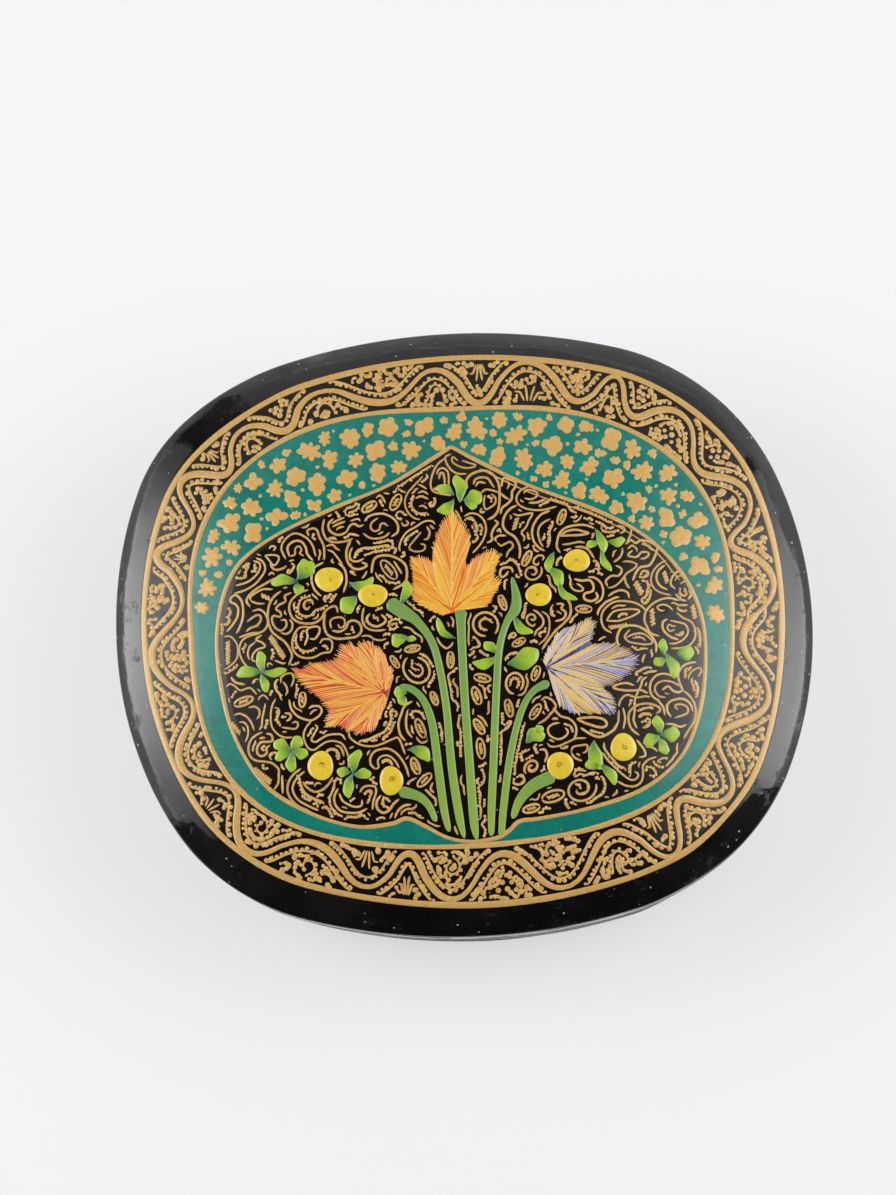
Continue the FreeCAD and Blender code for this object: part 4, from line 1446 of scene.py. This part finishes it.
    (-1.8, 24.3, -2.8, 23.5, -3.5, 22.3, -3.9, 20.8, -3.7, 19.7, -2.7, 19.2, -1.8, 19, -1, 18.8),
    (-3, 22, -2.7, 22.7, -2, 22.9, -1.4, 22.3, -1.3, 21.2, -1.35, 20.2),
    (-2.7, 21.3, -2.5, 22.1, -2.1, 22.2, -1.9, 21.3, -1.9, 20.3),
    (-0.8, 24.9, -1.6, 24.6, -1.6, 23.8, -1, 22.7, 0, 22, 1.3, 21.9),
    (0.1, 23.9, -0.6, 24.5, -0.7, 23.8, 0, 23.2, 1, 22.8, 2, 22.8, 2.7, 23.1, 1.7, 23.5, 0.7, 23.9),
    (1.3, 19.7, 1.2, 20.8, 1.8, 21.7, 3, 22.2, 4.2, 22.2, 5.2, 21.5, 5.8, 20.3, 5.9, 19, 5.8, 17.3, 5.5, 16.2,
     4.8, 15.4, 4, 15.1), (2.2, 20.3, 2.5, 21, 3.3, 21.3, 4.3, 21.1, 4.8, 20.3, 5.2, 19.7),
    (2.5, 20, 3, 20.6, 4, 20.4), (3.2, 19, 4, 19.5, 5.2, 19.2, 5.8, 18.9),
    (3.8, 18.7, 3.6, 17.6, 3.8, 16.6, 4.6, 16.9, 5.2, 17.4, 5.3, 18.2, 4.7, 18.8),
    (6.2, 19.8, 6.5, 21, 7.2, 20.9, 8.2, 20.4, 8.2, 19.7, 7.7, 19, 7.6, 18, 7, 17.3, 6.2, 16.7, 5.9, 15.8),
    (7, 20.7, 7.3, 20.1, 7, 19.4), (6, 18.9, 6.6, 18.3, 7.2, 17.9),
    (10.2, 19.7, 9, 19.2, 8.3, 18.2, 8.5, 17.2, 9.5, 16.5, 10.8, 16.2, 12.2, 16.2, 14, 16.6),
    (9.3, 18.7, 10, 19.2, 11.2, 18.8, 11.2, 18.2, 10.4, 17.8, 9.4, 18), (10, 17.3, 11.3, 17.3, 12.5, 17.8),
    (8.3, 17, 7.3, 16.5, 6.5, 15.5, 6.2, 14.2, 6.7, 13.2, 7.7, 12.5, 8.3, 11.5, 8.5, 10.3, 8.3, 9.2),
    (7.7, 15.8, 8.5, 15.5, 9.7, 15.7, 10.5, 15.7, 9.9, 14.7, 9.5, 13.8, 8.8, 13, 9.2, 12.3, 9, 11.7),
    (13, 16, 11.7, 15.5, 10.7, 14.3, 10.3, 13, 10.5, 11.7, 11.2, 10.7, 12, 10.2),
    (13, 14.8, 11.8, 14.2, 11.2, 13.2, 11.3, 11.8, 11.8, 10.8), (9.8, 11.3, 9.5, 10.8, 9, 10.8),
    (0.7, 15.7, 1.7, 16.1, 2.8, 15.8, 3.6, 14.8, 3.75, 13.5, 3.3, 12.2, 2.6, 11.2, 1.7, 10.3),
    (-0.5, 16.7, 0.1, 15.6, 0.3, 14.8), (5, 15, 5.5, 14.5, 4.9, 13.8, 4.5, 12.8, 4.6, 12.1, 3.8, 11.7),
    (5.2, 11.8, 5, 12.3, 5.7, 12.7, 6.6, 12.6),
    (5.3, 11.7, 5.8, 11.2, 6.5, 11.5, 7.2, 11.7, 7.5, 11, 6.8, 10.3, 6.5, 9.5),
    (-7.6, 15.5, -7.3, 15, -7.9, 14.7, -8.3, 15.2),
    (-3.5, 14.7, -3.9, 15.2, -5, 15.2, -6.2, 14.5, -7.5, 13.8, -8.3, 12.8, -8.7, 11.7, -8.6, 11),
    (-5.5, 13.7, -6.3, 12.8, -7.3, 11.5, -6.5, 10.9, -5.3, 11, -5, 11.7, -5.7, 12),
    (-4.7, 14.5, -4.3, 13.6, -4.6, 12.7, -5.2, 12.6),
    (19.2, 13.2, 18, 13.7, 16.7, 13.75, 15.3, 13.5, 14.3, 12.8, 13.9, 11.8, 13.75, 10.7, 14.2, 9.8),
    (14.2, 12.3, 15.2, 12.9, 16.5, 13.1, 17.6, 12.8, 18.4, 12.5, 17, 12.3, 15.7, 12.3, 14.2, 12.3),
    (14.5, 11, 15.7, 11.1, 17, 11.3, 17.8, 11.1), (16.3, 10.6, 17.5, 10.5, 18.3, 10, 19, 8.8),
    (22.3, 13.5, 23.3, 13.2, 23.5, 12.7, 22.8, 12.3), (24.5, 13, 24.3, 12, 23.8, 11.2),
    (23.5, 10.7, 24.3, 11.3, 25, 10.8, 25.7, 11.2, 26.8, 11, 28, 10.2, 27.8, 9.2, 27.3, 8.2, 26.7, 7.5,
     25.5, 7.3, 24.8, 6.5, 24.3, 5.4),
    (24.5, 9.8, 23.8, 9.1, 25, 8.8, 25.8, 9.5, 26.8, 9.3, 26.4, 8.7, 25.5, 8.5),
    (20.7, 4.7, 20.5, 5.5, 21.3, 6.2, 22.3, 6.2, 22.8, 6.8, 22.7, 7.3, 22, 7.7),
    (20.7, 4.5, 21.7, 4.7, 22.7, 5.5, 23.5, 6.5, 24.5, 7.1, 25, 7.7, 24, 8.2, 23, 8.2),
    (23.2, 6.2, 23.3, 5.2, 23.8, 4.3), (20.7, 3.3, 21.7, 3.9, 22.7, 4.1, 23.5, 3.7, 23.7, 2.9),
    (29.2, 8.2, 28, 7.5, 27.2, 6.5, 26.9, 5.3, 27.3, 4.2, 28.3, 3.5, 29.7, 3.1),
    (29, 7.5, 28, 6.7, 27.7, 5.5, 28.2, 4.5, 29.2, 3.9), (31, 6.7, 30, 5.8, 29.7, 4.7, 30.3, 4),
    (30.3, 5.2, 30.8, 5.8, 31.7, 5.8, 31.8, 5.2, 31, 4.7), (30.3, 3.3, 31, 2.5, 31.8, 2.2),
    (32.2, 3.8, 32.5, 3.1, 32, 2.4),
    (16, 6, 17, 5.7, 18.2, 5.7, 18.7, 4.9, 18.5, 4.1, 17.4, 3.8, 17.4, 3, 18.4, 2.7, 19.2, 3.2, 19, 4),
    (18, 6.2, 19, 6, 19.8, 5.2, 20.05, 4, 19.7, 2.9, 18.8, 2.3),
    (14, 3.8, 14.8, 3.3, 15.3, 2.2, 15.2, 0.8, 14.3, -0.3, 13.2, -1.2, 12.5, -2, 11.7, -3, 11, -4),
    (13.3, 2.5, 14.3, 2.4, 14, 1.8, 14.6, 1.2, 14.2, 0.3, 13, 0),
    (11.2, 1.5, 12, 0.9, 12.25, -0.2, 12, -1.7, 11.3, -2.7, 10.5, -3.3),
    (10, 1.8, 10.8, 1.2, 11.4, 0.2, 11.1, -0.7, 10.4, -1.2, 10, -2),
    (21, -2, 20, -1.3, 19.6, -0.2, 19.8, 1, 20.7, 2, 21.8, 2.5, 23.2, 2.5, 24.5, 2.2, 25.5, 1.6, 26, 0.9),
    (20.3, -0.2, 21.3, 1, 22.7, 1.3, 24.3, 1.3, 25.1, 1, 24.2, 0.4, 23.1, 0, 21.8, -0.3, 20.3, -0.2),
    (21.8, -3.8, 21.7, -2.7, 22.3, -1.4, 23.5, -1, 24.8, -1.2, 25.8, -1.8, 26.7, -2.8, 27.2, -3.9, 27.1, -5),
    (23, -2.7, 24, -2.3, 25.2, -2.2, 26.2, -2.8, 26.7, -3.6, 25.7, -3.8, 24.4, -3.6, 23.3, -3.3, 22.8, -2.5,
     23.6, -1.6),
    (27.7, -2.7, 26.5, -2.2, 25.9, -1, 25.7, -0.2, 26, 1, 27, 2, 28.3, 2.6, 29.5, 2.7, 30.8, 2.3),
    (29, -0.3, 28.3, -0.7, 28.3, -1.8, 29.2, -2.8, 30.4, -3.3),
    (29.3, -0.5, 30.5, -0.8, 31.5, -1.2, 31.8, -2.2, 31.2, -3.2, 30, -3.8, 29, -3.8),
    (30.3, 0.6, 31.2, -0.2, 32.3, -0.8, 32.8, -1.9, 32.7, -3.2, 31.8, -4.2, 30.5, -4.5, 29.3, -4.5),
    (29.4, -8.5, 28.3, -8.1, 27.2, -8.2, 26.3, -9, 26, -10.2, 26.3, -11.2, 27.2, -12, 27.8, -13, 27.9, -14),
    (30.4, -10, 29.2, -9.3, 28, -9.1, 27, -9.5, 26.7, -10.3, 27.2, -11.2, 28.2, -11.5),
    (27.7, -10.4, 28.6, -9.9, 29.2, -10.5, 30, -10.8, 30.7, -10.5),
    (30.7, -10.7, 30.2, -9.3, 30.1, -8.2, 30.7, -7.2, 31.7, -6.7, 32.8, -6.6),
    (31.5, -9, 31.7, -8.3, 32.3, -7.7, 33.2, -7.4, 33.4, -8, 32.8, -8.7),
    (30.7, -10.6, 31.5, -11.3, 32.2, -12.5, 32.3, -13.7, 32, -15, 31.2, -16.2, 30.4, -17.4),
    (28.8, -14.3, 28.3, -13.3, 28.5, -12.3, 29.5, -11.8, 30.7, -11.8, 31.6, -12.5, 31.9, -13.6),
    (29.8, -13.3, 29.4, -12.7, 30.2, -12.5, 31.1, -12.9, 31.2, -13.7, 30.4, -14.1, 29.3, -14.4),
    (28, -15.2, 29, -15.3, 30, -15.7, 31, -15.4),
    (24.2, -16.7, 23.2, -15.8, 22.8, -14.7, 22.9, -13.5, 23.7, -12.6, 24.8, -12.25, 26, -12.3, 27.1, -12.8,
     27.3, -13.3, 26.7, -13.7),
    (23.9, -15.7, 23.5, -14.5, 23.7, -13.3, 23.8, -11.7, 24.3, -10.5, 24.8, -9.6, 25, -8.9, 25.7, -8.4),
    (25.7, -10.8, 24.8, -10.3, 23.7, -10.3, 22.2, -10.2, 20.8, -9.8, 21.4, -9.4, 22.7, -9.2, 23.8, -9.6),
    (21.5, -12.5, 21.8, -11.6, 22.7, -10.9, 24, -11.3, 25.2, -11.2, 26, -11.3), (21.5, -13, 21.3, -15),
    (22.1, -12.7, 22.3, -14.2, 22, -15.7),
    (21.3, -14.7, 20.7, -15.7, 19.8, -16.3, 18.8, -16.7, 17.8, -16.5, 16.8, -15.9, 16, -15.3),
    (15.5, -14, 16.7, -13.9, 18, -13.9, 19.2, -14.2, 19.7, -14.8, 19.4, -15.3, 18.5, -15.3, 17.3, -14.9,
     16.3, -14.5, 15.5, -14), (12.2, -12.3, 13.2, -13.5, 14.5, -14, 15.3, -15, 15.3, -16.2, 14.9, -16.9),
    (13.1, -14.5, 12.2, -14.6, 11.4, -15.2, 11.6, -16.2, 12.7, -16.8, 13.7, -16.5, 14.2, -15.8, 13.8, -15.2),
    (11.2, -17.3, 11.7, -17.8, 12.8, -17.75, 14, -17.3, 15.3, -16.8, 16.7, -16.8),
    (10, -14.5, 11, -14, 11.8, -13.2, 12.6, -12.3, 12.3, -11.4, 11.3, -10.8, 10.6, -11.2),
    (14.5, -18.7, 14.8, -18, 15.8, -17.8, 16.8, -17.8, 16.7, -18.6, 16.1, -18.9),
    (14.5, -18.7, 15, -19.5, 16, -20), (10, -18.2, 10.8, -18.2, 11.1, -19, 10.7, -20),
    (19.2, -17.5, 19.2, -18.3, 19.8, -19.3, 20.8, -20.5),
    (18.9, -18.9, 19.6, -20, 20.7, -21.2, 21.7, -22.2, 22.7, -22.9, 23.5, -22.8, 23.8, -22.2, 23.3, -21.7),
    (20.8, -23, 22, -23.7, 23.3, -23.8, 24.2, -23.2, 24.5, -22, 24.5, -21, 25.3, -20.2, 26.5, -19.8),
    (23.8, -17.3, 24.3, -18, 24.8, -18.8, 24.9, -19.6, 24, -19.8), (25, -18.3, 26, -18.5, 26.7, -19.1),
]
# Toothed lines, in rows of the same kind, with beads to one side
toothed_lines = [
    (-30.3, 9.7, -30.8, 9, -30.8, 8.3, -31.5, 8.1, -32, 8.1),
    (-15, 11.2, -13.9, 11.7, -12.6, 11.7, -11, 11.9, -10.2, 12),
    (-33.2, 3.8, -33.1, 3.1, -33.5, 2.6, -33.2, 2.1, -33.7, 1.4),
    (-21.8, 5, -22.8, 4.8, -23.3, 4, -23.4, 2.9, -22.7, 2.3, -21.7, 2.3, -21, 3, -20, 3.3, -19.4, 3.7),
    (-23.7, -0.3, -23.9, -1.3, -23.5, -2.3, -22.7, -2.8, -21.7, -2.7, -21, -2.3),
    (-26.7, -10.7, -26.6, -11.4, -26.9, -12.4, -26.4, -13.2),
    (-15.3, -15.9, -14.2, -15.8, -13, -15.3, -11.8, -14.8, -11.2, -14, -10.7, -13, -10.8, -12.1,
     -10.4, -11.5), (-6.4, 18.8, -6.8, 17.9, -6.5, 17, -5.7, 16.4, -4.5, 16.4),
    (-3.3, 20, -2.6, 19.8, -2.1, 19.7),
    (0.8, 15.3, 1.7, 15.5, 2.3, 14.7, 2.6, 13.8, 2.3, 13.2, 2.6, 12.5, 2, 11.8),
    (13.4, 14.2, 12.8, 13, 12.8, 11.8, 12.5, 10.8), (19.2, 8.6, 19.6, 7.8, 19.5, 6.9, 20, 6.6),
    (33.3, -1.8, 33.5, -3, 33.4, -4.5), (32.6, -9.3, 32.8, -10.4, 32.6, -11.6),
    (25.9, -14.5, 25.6, -15.4, 24.8, -15.7), (24.2, -14, 25, -13.6, 26, -13.7),
    (20, -19.5, 21, -20.8, 22, -21.3), (-24, -20.5, -23.8, -21.8, -23.2, -23, -22, -23.8, -20.6, -24.4),
    (-20, -17, -19, -16.9, -18.4, -17.4, -18.2, -18.3), (-12.3, -18.9, -11.4, -18.7, -10.7, -19.3),
]
# Scribbled teeth: both ends of the row and half its height
zigzags = [
    (-33.6, -0.8, -33.7, -4.2, 0.35), (-27.6, -0.4, -25.6, -3.7, 0.4), (-28.7, 5.6, -27.4, 4.9, 0.3),
    (-30.4, -19.3, -28.0, -21.3, 0.45), (8.3, 15.2, 7.7, 13.4, 0.3), (24.6, 5.2, 25.6, 3.4, 0.45),
    (26.8, 1.3, 26.9, -1.2, 0.35), (-33.4, -12.6, -32.2, -14.2, 0.3), (28.8, 6.6, 29.2, 4.9, 0.3),
    (20.6, -1.2, 23.4, -0.9, 0.25), (32.6, 1.6, 32.9, -0.4, 0.35), (-12.9, 1.9, -11.9, 1.2, 0.25),
]


def zigzag(start_x, start_y, end_x, end_y, height, step=0.42):
    """A row of teeth: a triangle wave of the given height on the line between two points."""
    start, way = np.array([start_x, start_y]), np.array([end_x - start_x, end_y - start_y])
    length = np.hypot(*way)
    teeth = max(int(length / step), 2)
    t = np.linspace(0, 1, teeth * 4 + 1)[:, None]
    swing = np.arcsin(np.sin(t * teeth * 2 * np.pi)) / (np.pi / 2) * height
    return start + way * t + np.array([-way[1], way[0]]) / length * swing


def shell(r):
    """A line wound once and a half, with teeth on its inner turn."""
    line = spiral(r, 0, scroll_rng.uniform(470, 600), 0.3, 44)
    return [line], beads_along(line[24:], 0.4 * mm, 0.16 * mm, scroll_rng, -0.14 * mm)


def nested(r):
    """An open ring with a smaller toothed one inside it."""
    inner = spiral(0.5 * r, 60, 270, 0.7)
    return [spiral(r, 0, 315, 0.86), inner], beads_along(inner, 0.4 * mm, 0.15 * mm, scroll_rng, 0.16 * mm)


def almond(r):
    """A pointed ring with a scribble along its middle."""
    t = np.linspace(0, np.pi, 14)
    half = np.stack([-r * np.cos(t), 0.48 * r * np.sin(t)], -1)
    ring = np.vstack([half, half[::-1] * (1, -1)])
    return [ring, zigzag(-0.55 * r, 0, 0.55 * r, 0, 0.17 * r, 0.4 * mm)], None


def draw_scroll(points):
    """Adds one gold hair line through points, and keeps other lines off it."""
    path = smooth_path(points, 0.27 * mm)
    width = np.full(len(path), scroll_width * scroll_rng.uniform(0.9, 1.25))
    scroll_strokes.append((path, tapered(width, 2), scroll_rng.uniform()))
    stamp(path, scroll_gap + scroll_width)


def try_shape(maker, radius, free):
    """Draws a shape at one free cell in a random direction, if its whole disc is free there."""
    middle = raster_start + cell * free
    squeeze = scroll_rng.uniform(0.75, 1.0)
    turn, mirror = scroll_rng.uniform(0, 2 * np.pi), scroll_rng.choice((-1, 1))
    c, s = np.cos(turn), np.sin(turn)
    matrix = np.array([[c, s], [-s, c]]) * [[1.0], [mirror * squeeze]]
    foot = probe * (radius, radius * (0.5 if maker is almond else 1.0)) @ matrix + middle
    if taken[cells_of(foot)].any():
        return
    paths, beads = maker(radius)
    for path in paths:
        draw_scroll(path @ matrix + middle)
    if beads is not None:
        scroll_beads.append(np.hstack([beads[:, :2] @ matrix + middle, beads[:, 2:]]))


scroll_strokes, scroll_beads = [], []
for points in curls + toothed_lines:
    draw_scroll(np.reshape(points, (-1, 2)) * mm)
for row in zigzags:
    draw_scroll(zigzag(*row) * mm)
for points in toothed_lines:
    path = smooth_path(np.reshape(points, (-1, 2)) * mm)
    scroll_beads.append(beads_along(path, scroll_tooth_step, 0.25 * mm, scroll_rng, 0.17 * mm))
# Each round: the shapes to choose from, the largest and the least radius, and how many are tried
rounds = (
    ((shell, nested), 2.3, 1.7, 2500),
    ((shell, almond, nested), 1.7, 1.1, 2500),
    ((almond,), 1.3, 1.0, 800),
)
for makers, largest, smallest, tries in rounds:
    free_cells = np.argwhere(~taken)
    for radius in np.linspace(largest, smallest, tries) * mm:
        free = free_cells[scroll_rng.integers(0, len(free_cells))]
        if not taken[free[0], free[1]]:
            try_shape(makers[scroll_rng.integers(0, len(makers))], radius, free)
lines = fill_lines(scroll_width, scroll_gap, scroll_rng, longest=34, tightest=0.55 * mm, shortest=4)
scroll_strokes += lines
for path, width, shade in lines:
    if scroll_rng.uniform() < 0.55:
        scroll_beads.append(beads_along(path, scroll_tooth_step, 0.24 * mm, scroll_rng, 0.1 * mm))
stroke_piece("scrolls", scroll_strokes, panel_lift, line_rise, gold_paint)
dots("scroll_beads", np.vstack(scroll_beads), panel_lift + bead_lift, gold_paint)

# Studio
# A pale floor, soft light from windows at left and right that is graded over the lid, pale cards
# behind the box, and a dark card before it that is a painted dark reflection. A black ring of painted
# shade lies round the foot. The camera looks down from above the front edge.
floor_reach = 3.0
floor_corners = [(x * floor_reach, y * floor_reach, 0) for x, y in ((-1, -1), (1, -1), (1, 1), (-1, 1))]


def staged_mesh(name, corners, faces, material):
    """An object of the studio, from corners and faces."""
    mesh = bpy.data.meshes.new(name)
    mesh.from_pydata(corners, [], faces)
    mesh.materials.append(material)
    staged = bpy.data.objects.new(name, mesh)
    bpy.context.scene.collection.objects.link(staged)
    return staged


floor_material, tree, shader = new_material("floor_paper")
tree.nodes.remove(shader)
rays = add(tree, "ShaderNodeLightPath").outputs
seen_rays = math(tree, "MAXIMUM", rays["Is Camera Ray"], rays["Is Glossy Ray"])
paper_tone = mixed(tree, seen_rays, (0.82, 0.82, 0.83, 1), (0.7, 0.7, 0.71, 1))
paper = add(tree, "ShaderNodeBsdfDiffuse", {"Color": paper_tone})
pale = add(tree, "ShaderNodeEmission", {"Color": colour(246, 246, 248), "Strength": 1.0})
seen = math(tree, "MULTIPLY", seen_rays, 0.6)
shown = add(tree, "ShaderNodeMixShader", {0: seen, 1: paper.outputs[0], 2: pale.outputs[0]})
tree.links.new(shown.outputs[0], tree.nodes["Material Output"].inputs["Surface"])
staged_mesh("studio_floor", floor_corners, [(0, 1, 2, 3)], floor_material)

world = bpy.data.worlds.new("studio_air")
bpy.context.scene.world = world
world.use_nodes = True
tree = world.node_tree
dim = tree.nodes["Background"]
dim.inputs["Color"].default_value = (0.06, 0.06, 0.065, 1)
bright = add(tree, "ShaderNodeBackground", {"Color": colour(246, 247, 250)})
seen = add(tree, "ShaderNodeLightPath").outputs["Is Camera Ray"]
shown = add(tree, "ShaderNodeMixShader", {0: seen, 1: dim.outputs[0], 2: bright.outputs[0]})
tree.links.new(shown.outputs[0], tree.nodes["World Output"].inputs["Surface"])


def soft_panel(name, near_zenith, near_floor, width, brightness, bell=(0.0, 1.0, 1.0), ramp=(1.0, 0.9)):
    """A soft light between the middles of its upper and lower edges, facing the box.

    From front to back its brightness is a bell, given as its middle, its spread and the least
    share, and it grows downwards between the two heights of the ramp.
    """
    top, foot = Vector(near_zenith), Vector(near_floor)
    slope = top - foot
    lamp = bpy.data.lights.new(name, "AREA")
    lamp.shape = "RECTANGLE"
    lamp.size, lamp.size_y = width, slope.length
    lamp.energy = brightness * np.pi * width * slope.length
    lamp.use_nodes = True
    tree = lamp.node_tree
    position = add(tree, "ShaderNodeNewGeometry").outputs["Position"]
    place = add(tree, "ShaderNodeSeparateXYZ", {0: position}).outputs
    away = math(tree, "DIVIDE", math(tree, "SUBTRACT", place[1], bell[0]), bell[1])
    rise = math(tree, "EXPONENT", math(tree, "MULTIPLY", math(tree, "MULTIPLY", away, away), -1.0))
    share = math(tree, "MULTIPLY_ADD", rise, 1 - bell[2], bell[2])
    share = math(tree, "MULTIPLY", share, span(tree, place[2], *ramp))
    tree.links.new(share, tree.nodes["Emission"].inputs["Strength"])
    panel = bpy.data.objects.new(name, lamp)
    bpy.context.scene.collection.objects.link(panel)
    panel.location = (top + foot) / 2
    across = slope.cross(Vector((0, 0, 1)))
    facing = slope.cross(across).normalized()
    if facing.dot(-panel.location) < 0:
        facing.negate()
    panel.rotation_euler = facing.to_track_quat("-Z", "Y").to_euler()
    panel.visible_camera = False


# Each side: the zenith panel's brightness, bell and ramp, then the window's near and far edge and its
# brightness and bell
sides = (
    (-1, 3.7, (0.08, 0.062, 0.0), (0.615, 0.548), -0.3, 0.46, 6.5, (0.05, 0.17, 0.1)),
    (1, 4.0, (0.055, 0.086, 0.0), (0.69, 0.57), -0.46, 0.28, 5.6, (-0.04, 0.2, 0.1)),
)
for side, zenith, zenith_bell, zenith_ramp, near, far, window, window_bell in sides:
    soft_panel("zenith_panel", (side * 0.05, 0.05, 0.698), (side * 0.19, 0.05, 0.5), width=0.5,
               brightness=zenith, bell=zenith_bell, ramp=zenith_ramp)
    soft_panel("high_panel", (side * 0.19, 0.045, 0.5), (side * 0.4, 0.045, 0.2), width=0.62,
               brightness=4.2, bell=(0.03, 0.16, 0.0))
    middle = (near + far) / 2
    soft_panel("window", (side * 0.4, middle, 0.2), (side * 0.47, middle, 0.005), width=far - near,
               brightness=window, bell=window_bell)
soft_panel("back_card", (0.22, 0.62, 0.3), (0.22, 0.60, 0.01), width=1.15, brightness=0.6)
soft_panel("back_ceiling", (0.05, 0.2, 0.7), (0.05, 0.62, 0.3), width=0.8, brightness=0.42)

# Black for painted shade and a painted dark reflection, seen only in the lacquer's mirror images
shade_card_material, tree, shader = new_material("painted_shade_black")
shade_grain = noise(tree, add(tree, "ShaderNodeTexCoord").outputs["Object"], 400.0)
shade_tone = mixed(tree, shade_grain, (0.004, 0.004, 0.005, 1), (0.02, 0.02, 0.02, 1))
tree.links.new(shade_tone, shader.inputs["Base Color"])
shader.inputs["Roughness"].default_value = 0.9

# Painted shade: a black ring on the floor for the foot's contact shadow, seen only in mirror images
shade_in, shade_out, shade_height = 1.5 * mm, 1.15 * mm, 0.05 * mm
shade_loops = [np.stack(outline(turns_round, inset), -1) for inset in (shade_in, -shade_out)]
shade_flat = np.stack(shade_loops, 1).reshape(-1, 2)
shade_corners = np.column_stack([shade_flat, np.full(len(shade_flat), shade_height)])
shade_faces = ring_faces(2, len(turns_round), closed_across=False)
# A dark card before the box, seen only in reflections and casting no shadow: a painted dark reflection
card_corners = [(-0.2, -0.085, 0), (0.2, -0.085, 0), (0.2, -0.105, 0.08), (-0.2, -0.105, 0.08)]
foot_shade = staged_mesh("foot_shade", shade_corners.tolist(), shade_faces.tolist(), shade_card_material)
dark_card = staged_mesh("dark_card", card_corners, [(0, 1, 2, 3)], shade_card_material)
for shade in (foot_shade, dark_card):
    shade.visible_camera = shade.visible_diffuse = shade.visible_shadow = False

camera_data = bpy.data.cameras.new("camera")
camera_data.lens = 84.68
camera = bpy.data.objects.new("camera", camera_data)
bpy.context.scene.collection.objects.link(camera)
camera.location = (0.008, -0.059, 0.4308)
camera.rotation_euler = np.radians([9.01, 1.79, -2.11])
bpy.context.scene.camera = camera
bpy.context.scene.view_settings.view_transform = "Standard"
